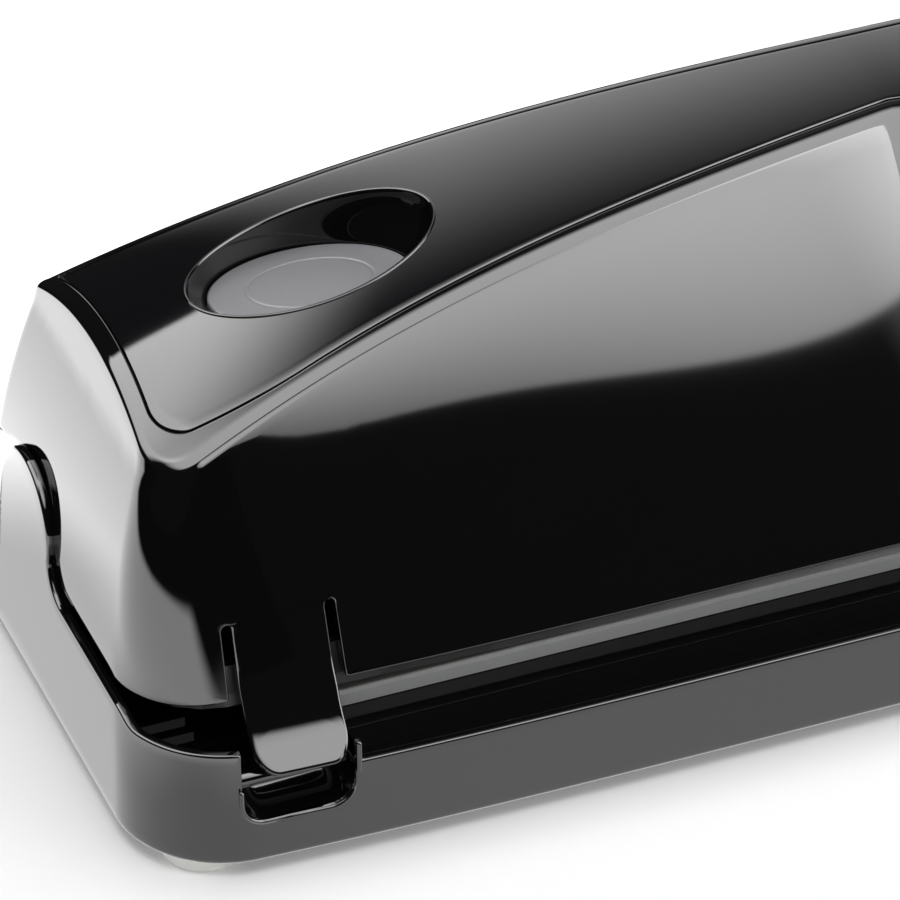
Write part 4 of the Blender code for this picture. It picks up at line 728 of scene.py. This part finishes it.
def tub_rim(d):
    """Half of the tub's rim, d down the wall: low front lip, round cornered pocket, corner lip, rise to the
    side lip, hollow, ear, rear fillet and rear lip. Returns w, z and the w at the foot of each column."""
    inner, outer = POCKET_X - POCKET_HALF, POCKET_X + POCKET_HALF
    r, nick = POCKET_RADIUS, NICK
    xs, zs, marks = join((
        (spread(0, FLOOR_HALF, 30), FRONT_LIP - d),
        (spread(FLOOR_HALF, inner - nick, 10), FRONT_LIP - d),
        arcs(inner - nick, FRONT_LIP - nick, nick - d, nick - d, pi / 2, 0, 4),
        (inner - d, spread(FRONT_LIP - nick, POCKET_LOW + r, 4)),
        arcs(inner + r, POCKET_LOW + r, r + d, r + d, pi, 3 * pi / 2, 10),
        (spread(inner + r, outer - r, 8), POCKET_LOW - d),
        arcs(outer - r, POCKET_LOW + r, r + d, r + d, 3 * pi / 2, 2 * pi, 10),
        (outer + d, spread(POCKET_LOW + r, CORNER_LIP - nick, 8)),
        arcs(outer + nick, CORNER_LIP - nick, nick - d, nick - d, pi, pi / 2, 4)))
    w_front = tub_front_share(xs, zs)
    first = tub_front_share(np.array(outer + nick), np.array(CORNER_LIP - d))
    w_corner = np.linspace(first, 2, 22)
    y_corner = tub_point(w_corner, CORNER_LIP, 0.0)[:, 1]
    climb = smooth_step((y_corner - RISE_FROM) / (RISE_TO - RISE_FROM))
    z_corner = CORNER_LIP - d + (SIDE_LIP - CORNER_LIP) * climb
    centre = (AXIS_Y - EAR_REACH, SIDE_LIP + EAR_FILLET)
    away = hypot(EAR_REACH, AXIS_Z - centre[1])
    slope = atan2(AXIS_Z - centre[1], EAR_REACH)
    big, small = EAR - d, EAR_FILLET + d
    near = (away ** 2 + small ** 2 - big ** 2) / (2 * away)
    fillet_end = slope - acos(np.clip(near / small, -1, 1))
    ear_start = pi + slope + acos(np.clip((away - near) / big, -1, 1))
    y_first = tub_point(np.array(2.0), np.array(SIDE_LIP), 0.0)[1]
    flat = np.linspace(y_first, centre[0], 10)[1:-1]
    hollow = arcs(*centre, small, small, -pi / 2, fillet_end, 8)
    ear = arcs(AXIS_Y, AXIS_Z, big, big, ear_start, 0, 34)
    rear_foot = AXIS_Y + EAR_FOOT
    top = REAR_LIP + REAR_FILLET
    fall = (spread(AXIS_Y + big, rear_foot - d, 8), spread(AXIS_Z, top, 8))
    fillet = arcs(rear_foot + REAR_FILLET, top, REAR_FILLET + d, REAR_FILLET + d, pi, 3 * pi / 2, 6, True)
    ys = np.concatenate((flat, hollow[0], ear[0], fall[0], fillet[0]))
    zs_side = np.concatenate((np.full(len(flat), SIDE_LIP - d), hollow[1], ear[1], fall[1], fillet[1]))
    w_side = tub_side_share(ys, zs_side)
    side_long = tub_point(np.array(3.0), np.array(SIDE_LIP), 0)[1] - y_first
    bend = np.arcsin(np.clip((w_side - 3) * side_long / TUB_REAR_RADIUS, 0, 1)) / (pi / 2)
    w_side = np.where(w_side > 3, 3 + bend, w_side)
    w_back = np.linspace(w_side[-1], 4, 8)[1:-1]
    rear_flat = BASE_LENGTH / 2 - TUB_DRAFT * (REAR_LIP - FOOT) - TUB_REAR_RADIUS
    w_rear = np.concatenate(([4.0], 5 - (spread(0, FLOOR_HALF, 30) / rear_flat)[::-1]))
    w = np.concatenate((w_front, w_corner, w_side, w_back, w_rear))
    z_all = np.concatenate((zs, z_corner, zs_side, np.full(len(w_back) + len(w_rear), REAR_LIP - d)))
    n1 = len(w_front)
    n2 = n1 + len(w_corner)
    n3 = n2 + len(w_side)
    ear_from = n2 + len(flat) + 8
    foot_w = FLOOR_HALF / (BASE_LENGTH / 2 - TUB_RADIUS)
    anchors = ((0, 0.0), (marks[1], foot_w), (marks[3], 0.815), (marks[4], 0.835), (marks[5], 0.885),
               (marks[6], 1.03), (marks[7], 1.16), (n1, 1.42), (n2 - 1, 2.06), (n2 + len(flat), 2.42),
               (ear_from, 2.56), (ear_from + 17, 2.80), (ear_from + 34, 3.0), (n3 - 1, 3.5),
               (n3 + len(w_back), 4.0), (n3 + len(w_back) + 1, w[n3 + len(w_back) + 1]), (len(w) - 1, 5.0))
    low = np.interp(np.arange(len(w)), [a for a, _ in anchors], [b for _, b in anchors])
    rear_from = n3 + len(w_back) + 1
    low[rear_from:] = w[rear_from:]
    return w, z_all, low


def make_tub(look):
    """The tub as one closed skin: from the middle of its floor out, up the inner wall, over the rounded rim,
    down the outer wall, round the bottom edge and back under the floor to the middle."""
    edge = 0.6 * MM
    w0, z0, w1 = tub_rim(edge)
    bottom = FOOT + TUB_EDGE

    def column(v, inset, low):
        w = w0 + (w1 - w0) * (1 - (1 - v) ** 2)
        return tub_point(w, z0 + (low - z0) * v, inset)

    outline = tub_point(w1, FOOT + WALL, WALL)
    middle = np.stack((np.minimum(outline[:, 0], FLOOR_HALF), 0 * w1, np.full(len(w1), FOOT + WALL)), -1)
    rows = [middle, middle + (outline - middle) * 0.5]
    rows += [column(v, WALL, FOOT + WALL) for v in np.linspace(1, 0, 8)]

    def rim(d, depth):
        w, z, _ = tub_rim(d)
        return tub_point(w, z, depth)

    rows += rounded_rim(rim, edge, WALL)
    rows += [column(v, 0.0, bottom) for v in np.linspace(0, 1, 15)]
    for i in range(1, 7):
        turn = pi / 2 * i / 6
        rows.append(tub_point(w1, bottom - TUB_EDGE * np.sin(turn), TUB_EDGE * (1 - np.cos(turn))))
    under = rows[-1]
    middle = middle * (1, 1, 0) + np.array([0, 0, FOOT])
    rows += [middle + (under - middle) * 0.5, middle]
    grid = np.stack([both_halves(row) for row in rows])
    return piece("tub_skin", [grid], look, (False, True))


def make_pocket(side, word, look):
    """Liner of a pocket: a U shaped section carried back from the tub's wall while its floor climbs along a
    quarter circle, as a finger scoop does; an open sheet that gets its thickness outwards."""
    r, half = POCKET_RADIUS, POCKET_HALF
    front = FRONT + TUB_DRAFT * (POCKET_LOW - FOOT) + WALL * 0.9
    scoop_from = front + 1 * MM
    top = POCKET_TOP
    x1, z1 = np.full(6, -half), spread(top, POCKET_LOW + r, 6)
    x2, z2 = arcs(-half + r, POCKET_LOW + r, r, r, pi, 3 * pi / 2, 8)
    x3 = spread(-half + r, half - r, 8)
    xs = np.concatenate((x1, x2, x3, -x2[::-1], [half], -x1[::-1]))
    zs = np.concatenate((z1, z2, np.full(8, POCKET_LOW), z2[::-1], [POCKET_LOW + r], z1[::-1]))
    last = acos(1 - (top - POCKET_LOW) / POCKET_SCOOP)
    rows = [np.stack((side * POCKET_X + xs, np.full(len(xs), front), zs), -1)]
    for a in np.linspace(0, last, 18):
        climb = POCKET_SCOOP * (1 - np.cos(a))
        level = zs + climb * (top - zs) / (top - POCKET_LOW)
        y = scoop_from + POCKET_SCOOP * np.sin(a)
        rows.append(np.stack((side * POCKET_X + xs, np.full(len(xs), y), level), -1))
    made = piece("pocket_" + word, [np.stack(rows)], look, (False, False))
    wall = made.modifiers.new("wall", "SOLIDIFY")
    wall.thickness, wall.offset = POCKET_WALL, -side
    return made


def rings(centre, axis, profile, count=64):
    """A turned piece: each (distance along the axis, radius) of the profile becomes a circle."""
    a = np.arange(count) * 2 * pi / count
    rows = []
    for along, radius in profile:
        parts = [centre[0] + 0 * a, centre[1] + 0 * a, centre[2] + 0 * a]
        others = [i for i in range(3) if i != axis]
        parts[axis] = parts[axis] + along
        parts[others[0]] = parts[others[0]] + radius * np.cos(a)
        parts[others[1]] = parts[others[1]] + radius * np.sin(a)
        rows.append(np.stack(parts, -1))
    return np.stack(rows)


def rounded_rod(length, radius, edge, steps=4):
    """Profile of a rod with rounded ends: quarter circles at both ends, closed on the axis."""
    turn = np.linspace(0, pi / 2, steps + 1)
    low = [(edge * (1 - np.sin(a)), radius - edge * (1 - np.cos(a))) for a in turn[::-1]]
    return [(0.0, 0.0)] + low + [(length - x, r) for x, r in low[::-1]] + [(length, 0.0)]


def block(name, low, high, edge, look):
    """A box with rounded upright edges and top: rounded rectangles drawn in along a quarter circle."""
    corners = ((high[0], high[1], 0), (low[0], high[1], 1), (low[0], low[1], 2), (high[0], low[1], 3))
    least = 0.05 * MM

    def loop(inset, z):
        xs, ys = [], []
        r = max(edge - inset, least)
        for cx, cy, start in corners:
            px = cx - (edge if cx == high[0] else -edge)
            py = cy - (edge if cy == high[1] else -edge)
            x, y = arcs(px, py, r, r, start * pi / 2, (start + 1) * pi / 2, 6, True)
            xs.append(x)
            ys.append(y)
        x, y = np.concatenate(xs), np.concatenate(ys)
        return np.stack((x, y, np.full(len(x), z)), -1)

    rows = [loop(0.0, low[2]), loop(0.0, high[2] - edge)]
    for a in np.linspace(0, pi / 2, 6)[1:]:
        rows.append(loop(edge * (1 - np.cos(a)), high[2] - edge + edge * np.sin(a)))
    centre = np.array([(low[0] + high[0]) / 2, (low[1] + high[1]) / 2, 0])
    ends = [np.broadcast_to(centre + (0, 0, z), rows[0].shape) for z in (low[2], high[2])]
    return piece(name, [np.stack([ends[0]] + rows + [ends[1]])], look, (False, True))


# Materials

def linear(code):
    """sRGB hex value as linear red, green, blue and 1."""
    parts = [int(code[i:i + 2], 16) / 255 for i in (1, 3, 5)]
    return (*[c / 12.92 if c <= 0.04045 else ((c + 0.055) / 1.055) ** 2.4 for c in parts], 1.0)


def node(tree, kind, links=(), **settings):
    """Adds a node. links are (socket, value): another node's output is joined to the socket, and a number or
    a row of numbers is set on it. settings go to the socket or else the property of that name."""
    made = tree.nodes.new(kind)
    for name, value in settings.items():
        words = name.replace("_", " ")
        socket = next((s for s in made.inputs if s.name.lower() == words), None)
        if socket is None:
            setattr(made, name, value)
        else:
            socket.default_value = value
    for name, value in links:
        if isinstance(value, bpy.types.NodeSocket):
            tree.links.new(value, made.inputs[name])
        else:
            made.inputs[name].default_value = value
    return made


def surface(name, color, roughness, metallic=0.0, ior=1.5, grain=None, bump=None):
    """A Principled finish. grain = (size in mm, spread of roughness), bump = (size in mm, height in mm)."""
    made = bpy.data.materials.new(name)
    made.use_nodes = True
    tree = made.node_tree
    shader = tree.nodes["Principled BSDF"]
    shader.inputs["Base Color"].default_value = linear(color)
    shader.inputs["Roughness"].default_value = roughness
    shader.inputs["Metallic"].default_value = metallic
    shader.inputs["IOR"].default_value = ior
    place = node(tree, "ShaderNodeTexCoord").outputs["Object"] if grain or bump else None
    if grain:
        size, spread_of_roughness = grain
        noise = node(tree, "ShaderNodeTexNoise", [("Vector", place)], scale=1 / (size * MM), detail=3.0)
        span = node(tree, "ShaderNodeMapRange", [("Value", noise.outputs["Fac"])],
                    to_min=roughness - spread_of_roughness, to_max=roughness + spread_of_roughness)
        tree.links.new(span.outputs["Result"], shader.inputs["Roughness"])
    if bump:
        size, height = bump
        noise = node(tree, "ShaderNodeTexNoise", [("Vector", place)], scale=1 / (size * MM), detail=2.0)
        rough = node(tree, "ShaderNodeBump", [("Height", noise.outputs["Fac"])], strength=1.0,
                     distance=height * MM)
        tree.links.new(rough.outputs["Normal"], shader.inputs["Normal"])
    return made


# ABS from a polished mould: mirrors the studio with crisp edges, black where the studio is dark
gloss = surface("polished black ABS", "#0B0B0C", 0.035)
# ABS from a finely blasted mould, on the panel: reflections a little softened, with a fine grain in them
satin = surface("satin black ABS panel", "#0D0D0F", 0.07, grain=(0.6, 0.02), bump=(0.35, 0.0008))
# ABS from an etched mould, on the pads: matt and even grey with a faint sheen
pad_face = surface("satin grey ABS pad", "#6E6E71", 0.42, bump=(0.3, 0.006))
# ABS from a plain mould, on the inner parts: dull black, a little uneven in the light
dull = surface("moulded black ABS", "#101012", 0.38, bump=(0.5, 0.008))
# Acrylic with a frosted back: pale grey, with a smooth face that takes a soft highlight
lens_look = surface("frosted acrylic lens", "#9A9CA0", 0.25, ior=1.49)
# Foamed rubber with its cells closed: matt grey, with a pitted skin drawn coarser than it is
foam = surface("closed cell foam", "#8F9092", 0.85, bump=(0.5, 0.06))
# Moulded silicone: light grey, half matt
silicone = surface("grey silicone", "#C4C5C5", 0.5, ior=1.41)
# Woven glass coated with a fluoropolymer: greyish tan, faintly uneven, with a broad sheen
cloth = surface("glass cloth with fluoropolymer", "#8F8D89", 0.45, bump=(0.6, 0.02))
# Moulded rubber of the feet: pale grey, matt
rubber = surface("pale grey rubber", "#D3D3CF", 0.6, bump=(0.4, 0.01))
# Steel with a zinc coat: light metal, its gloss a little blotchy
zinc = surface("zinc plated steel", "#B9BABC", 0.28, 1.0, grain=(0.8, 0.06))
# Brass pins with a nickel coat: bright and warm
bright = surface("nickel plated pin", "#C8C6C1", 0.18, 1.0)
# Stacked steel sheets: darker and duller than plated steel
core = surface("laminated core steel", "#6D6E70", 0.45, 1.0, grain=(0.5, 0.08))
# Copper wire under clear enamel: reddish, with ripples that stand for its turns
copper = surface("enamelled copper wire", "#A85A2C", 0.35, 0.9, bump=(0.5, 0.1))
# Glass and resin board under green lacquer: half gloss, faintly woven
laminate = surface("green circuit laminate", "#1E6B38", 0.4, bump=(1.2, 0.03))

FINISHES = {
    "gloss_housing": gloss, "catch_bars": gloss, "satin_panel": satin, "pad_face": pad_face,
    "signal_lens": lens_look, "dull_moulding": dull, "foam_seal": foam, "silicone": silicone,
    "release_cloth": cloth, "foot_rubber": rubber, "plated_steel": zinc, "pin_metal": bright,
    "core_steel": core, "winding": copper, "laminate": laminate}


def dress_frame():
    """Each CAD node takes the finish of its slot in the record."""
    for part in frame["record"]["subparts"]:
        item = frame["nodes"][part["node"]]
        item.data.materials.clear()
        item.data.materials.append(FINISHES[part["material_slot"]])


# The object

def put(item, body, slot, *replaced):
    """The piece moves with a body and stands for CAD nodes, which it hides; slot is not used."""
    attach(item, body)
    if replaced:
        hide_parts(*replaced)


def make_post(side, word, look):
    """Small upright at the inner end of a pocket."""
    inner = POCKET_X - POCKET_HALF
    first, last = sorted((side * (inner - POST_WIDE), side * inner))
    return block("post_" + word, (first, *POST_LOW), (last, *POST_HIGH), POST_EDGE, look)


def make_bar(side, word, look):
    """Catch bar across a pocket, a little short of its walls."""
    gap, edge = 0.3 * MM, 0.2 * MM
    start = (side * POCKET_X - POCKET_HALF + gap, BAR_Y, BAR_Z)
    profile = rounded_rod(2 * (POCKET_HALF - gap), BAR_RADIUS, edge)
    return piece("bar_" + word, [rings(start, 0, profile, 40)], look, (False, True))


def make_inlet_cutter(look):
    """Box that takes the mains socket's hole out of the lid."""
    low = [middle - half for middle, half in zip(INLET, INLET_HALF)]
    high = [middle + half for middle, half in zip(INLET, INLET_HALF)]
    return block("inlet_cutter", low, high, INLET_EDGE, look)


def build():
    """All pieces, each but the latch tabs on the body that carries it."""
    dress_frame()
    lid = cut(make_lid(gloss), [make_inlet_cutter(gloss)])
    put(lid, "lid", "gloss_housing", "lid_shell")
    put(make_panel(satin), "lid", "satin_panel", "control_panel")
    put(make_tub(gloss), "base", "gloss_housing", "base_shell")
    for word, side in SIDES:
        put(make_well(side, word, gloss), "lid", "gloss_housing")
        put(make_pad(side, word, pad_face), "pad_" + word, "pad_face", "touch_pad_" + word)
        tab = make_tab(side, word, gloss)
        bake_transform(tab)
        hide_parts("lock_tab_" + word)
        put(make_pocket(side, word, gloss), "base", "gloss_housing")
        put(make_bar(side, word, gloss), "base", "catch_bars", "catch_bar_" + word)
        put(make_post(side, word, gloss), "base", "gloss_housing")
        for step, place in ((-1, "front"), (1, "rear")):
            name = "foot_" + place + "_" + word
            foot = rings((side * FOOT_X, step * (REAR - FOOT_IN), 0.0), 2, FOOT_RINGS)
            put(piece(name, [foot], rubber, (False, True)), "base", "foot_rubber", name)


build()


# Studio

# What polished faces mirror: soft boxes in a dark studio. Each has a strength, where 1 is white, and edges:
# along an axis of the direction, the light rises smoothly from a low to a high value.
SOFT_BOXES = (
    (10.5, (((0.790, -0.527, 0.314), 0.9184, 0.9202), ((0.819, -0.454, 0.351), 0.845, 0.96))),
    (8.0, (((0.5, -0.4, 0.768), 0.80, 0.93), ((0, 0, 1), 0.58, 0.66))),
    (9.0, (((-1, 0, 0), -0.24, -0.10), ((0, -1, 0), -0.645, -0.615), ((0, 1, 0), -0.35, -0.05),
           ((1, 0, 0), -0.8, -0.5), ((0, 0, 1), 0.5, 0.7))),
    (1.9, (((1, 0, 0), 0.12, 0.25), ((0, 1, 0), 0.15, 0.85), ((0, 0, 1), 0.0, 0.1))))
SKY_LEVEL = 0.5
DARK_LEVEL = 0.02
LAMP_LEVEL = 2.6
LAMP_SIZE = 1.6
LAMP_PLACE = (0.0, 0.1, 1.6)
TABLE_SHADE = 0.15
TABLE_HALF = 3.0

# The table's lit patch in polished faces is painted light: the table gives it off to glossy rays only. Given
# are its strength at the object, kept low as painted shade of the object's shadow, what it gains outwards,
# and its strength in front
PATCH_CLOSE = 1.8
PATCH_GAIN = 2.4
PATCH_FRONT = 2.0

# Distances between which the patch gains and ends, its front part ends, starts and narrows, and the table
# turns white. Those with a minus sign count for what falls with the distance.
PATCH_GAINS = (0.015, 0.07)
PATCH_ENDS = (-0.36, -0.27)
FRONT_ENDS = (-0.22, -0.06)
FRONT_STARTS = (0.04, 0.07)
FRONT_SIDES = (-0.20, -0.12)
TABLE_FADES = (0.15, 0.9)

# Kinds of nodes that are often used, and the white of the studio
MATH = "ShaderNodeMath"
VECTOR_MATH = "ShaderNodeVectorMath"
MIX = "ShaderNodeMixShader"
WHITE = (1, 1, 1, 1)


def soft_edge(tree, place, axis, low, high):
    """0 up to a low value along an axis, 1 from a high value on, and an even S curve between."""
    along = node(tree, VECTOR_MATH, ((0, place), (1, axis)), operation="DOT_PRODUCT").outputs["Value"]
    return node(tree, "ShaderNodeMapRange", [("Value", along)], interpolation_type="SMOOTHSTEP",
                from_min=low, from_max=high).outputs["Result"]


def make_world():
    """White for the camera, an even sky for matt faces and the soft boxes for polished ones."""
    world = bpy.data.worlds.new("studio")
    bpy.context.scene.world = world
    world.use_nodes = True
    tree = world.node_tree
    tree.nodes.clear()
    direction = node(tree, "ShaderNodeTexCoord").outputs["Generated"]
    total = DARK_LEVEL
    for strength, edges in SOFT_BOXES:
        for edge in edges:
            share = soft_edge(tree, direction, *edge)
            strength = node(tree, MATH, ((0, share), (1, strength)), operation="MULTIPLY").outputs[0]
        total = node(tree, MATH, ((0, strength), (1, total)), operation="ADD").outputs[0]
    path = node(tree, "ShaderNodeLightPath").outputs
    lit = [node(tree, "ShaderNodeBackground", (("Color", WHITE), ("Strength", level))).outputs[0]
           for level in (1.0, SKY_LEVEL, total)]
    white, sky, boxes = lit
    shown = node(tree, MIX, (("Fac", path["Is Glossy Ray"]), (1, sky), (2, boxes))).outputs[0]
    shown = node(tree, MIX, (("Fac", path["Is Camera Ray"]), (1, shown), (2, white))).outputs[0]
    node(tree, "ShaderNodeOutputWorld", [("Surface", shown)])


def make_table():
    """White table with the object's shadow, which runs into the white background further away. Polished faces
    see a painted lit patch round the object, an emission for glossy rays only: bright beside it and behind
    it, dimmer where it nears the object as painted shade of the object's shadow, and fading out in front."""
    mesh = bpy.data.meshes.new("table")
    corners = [(x * TABLE_HALF, y * TABLE_HALF, 0) for x, y in ((-1, -1), (1, -1), (1, 1), (-1, 1))]
    mesh.from_pydata(corners, [], [(0, 1, 2, 3)])
    table = bpy.data.objects.new("table", mesh)
    bpy.context.scene.collection.objects.link(table)
    look = bpy.data.materials.new("white table")
    look.use_nodes = True
    tree = look.node_tree
    matt = tree.nodes["Principled BSDF"]
    matt.inputs["Base Color"].default_value = linear("#F4F4F4")
    matt.inputs["Roughness"].default_value = 0.6
    place = node(tree, "ShaderNodeTexCoord").outputs["Object"]
    size = node(tree, VECTOR_MATH, [(0, place)], operation="ABSOLUTE").outputs[0]
    half = (BASE_LENGTH / 2, REAR, 0)
    past = node(tree, VECTOR_MATH, ((0, size), (1, half)), operation="SUBTRACT").outputs[0]
    past = node(tree, VECTOR_MATH, [(0, past)], operation="MAXIMUM").outputs[0]
    away = node(tree, VECTOR_MATH, [(0, past)], operation="LENGTH").outputs["Value"]
    away = node(tree, "ShaderNodeCombineXYZ", [("X", away)]).outputs[0]
    out, back, front = (1, 0, 0), (-1, 0, 0), (0, -1, 0)
    # Painted shade: the patch starts low by the object, standing for its shadow on the table, and gains
    # outwards
    grown = soft_edge(tree, away, out, *PATCH_GAINS)
    faded = soft_edge(tree, away, back, *PATCH_ENDS)
    beside = node(tree, MATH, ((0, grown), (1, PATCH_GAIN)), operation="MULTIPLY").outputs[0]
    beside = node(tree, MATH, ((0, beside), (1, PATCH_CLOSE)), operation="ADD").outputs[0]
    beside = node(tree, MATH, ((0, beside), (1, faded)), operation="MULTIPLY").outputs[0]
    faded = soft_edge(tree, away, back, *FRONT_ENDS)
    before = node(tree, MATH, ((0, faded), (1, PATCH_FRONT)), operation="MULTIPLY").outputs[0]
    forward = soft_edge(tree, place, front, *FRONT_STARTS)
    central = soft_edge(tree, size, back, *FRONT_SIDES)
    ahead = node(tree, MATH, ((0, forward), (1, central)), operation="MULTIPLY").outputs[0]
    path = node(tree, "ShaderNodeLightPath").outputs
    # Painted light: the patch is an emission that only polished faces see
    lit = [node(tree, "ShaderNodeEmission", [("Strength", level)]).outputs[0]
           for level in (beside, before, 1.0)]
    side_patch, front_patch, white = lit
    distant = soft_edge(tree, away, out, *TABLE_FADES)
    shade = node(tree, MATH, ((0, distant), (1, TABLE_SHADE)), operation="MAXIMUM").outputs[0]
    seen = node(tree, MATH, ((0, path["Is Camera Ray"]), (1, shade)), operation="MULTIPLY").outputs[0]
    patch = node(tree, MIX, (("Fac", ahead), (1, side_patch), (2, front_patch))).outputs[0]
    shown = node(tree, MIX, (("Fac", seen), (1, matt.outputs[0]), (2, white))).outputs[0]
    shown = node(tree, MIX, (("Fac", path["Is Glossy Ray"]), (1, shown), (2, patch))).outputs[0]
    tree.links.new(shown, tree.nodes["Material Output"].inputs["Surface"])
    mesh.materials.append(look)


def make_lamp():
    """One large soft lamp above, which gives the shadow; polished faces don't mirror it."""
    lamp = bpy.data.lights.new("overhead", "AREA")
    lamp.shape = "SQUARE"
    lamp.size = LAMP_SIZE
    lamp.energy = LAMP_LEVEL * LAMP_SIZE ** 2 * pi
    made = bpy.data.objects.new("overhead", lamp)
    made.location = LAMP_PLACE
    made.visible_camera = made.visible_glossy = False
    bpy.context.scene.collection.objects.link(made)


def make_camera():
    """Long lens from the left front and above, as in the photograph: its place and its right, up and back."""
    camera = bpy.data.cameras.new("camera")
    camera.sensor_width = 36.0
    camera.lens = 274.0
    made = bpy.data.objects.new("camera", camera)
    right = Vector((0.9272, -0.3746, 0.0))
    up = Vector((0.2197, 0.5437, 0.8100))
    back = Vector((-0.3034, -0.7510, 0.5864))
    turn = Matrix((right, up, back)).transposed().to_4x4()
    made.matrix_world = Matrix.Translation((-0.5589, -1.1107, 0.9215)) @ turn
    bpy.context.scene.collection.objects.link(made)
    bpy.context.scene.camera = made


bpy.context.scene.view_settings.view_transform = "Standard"
make_world()
make_table()
make_lamp()
make_camera()
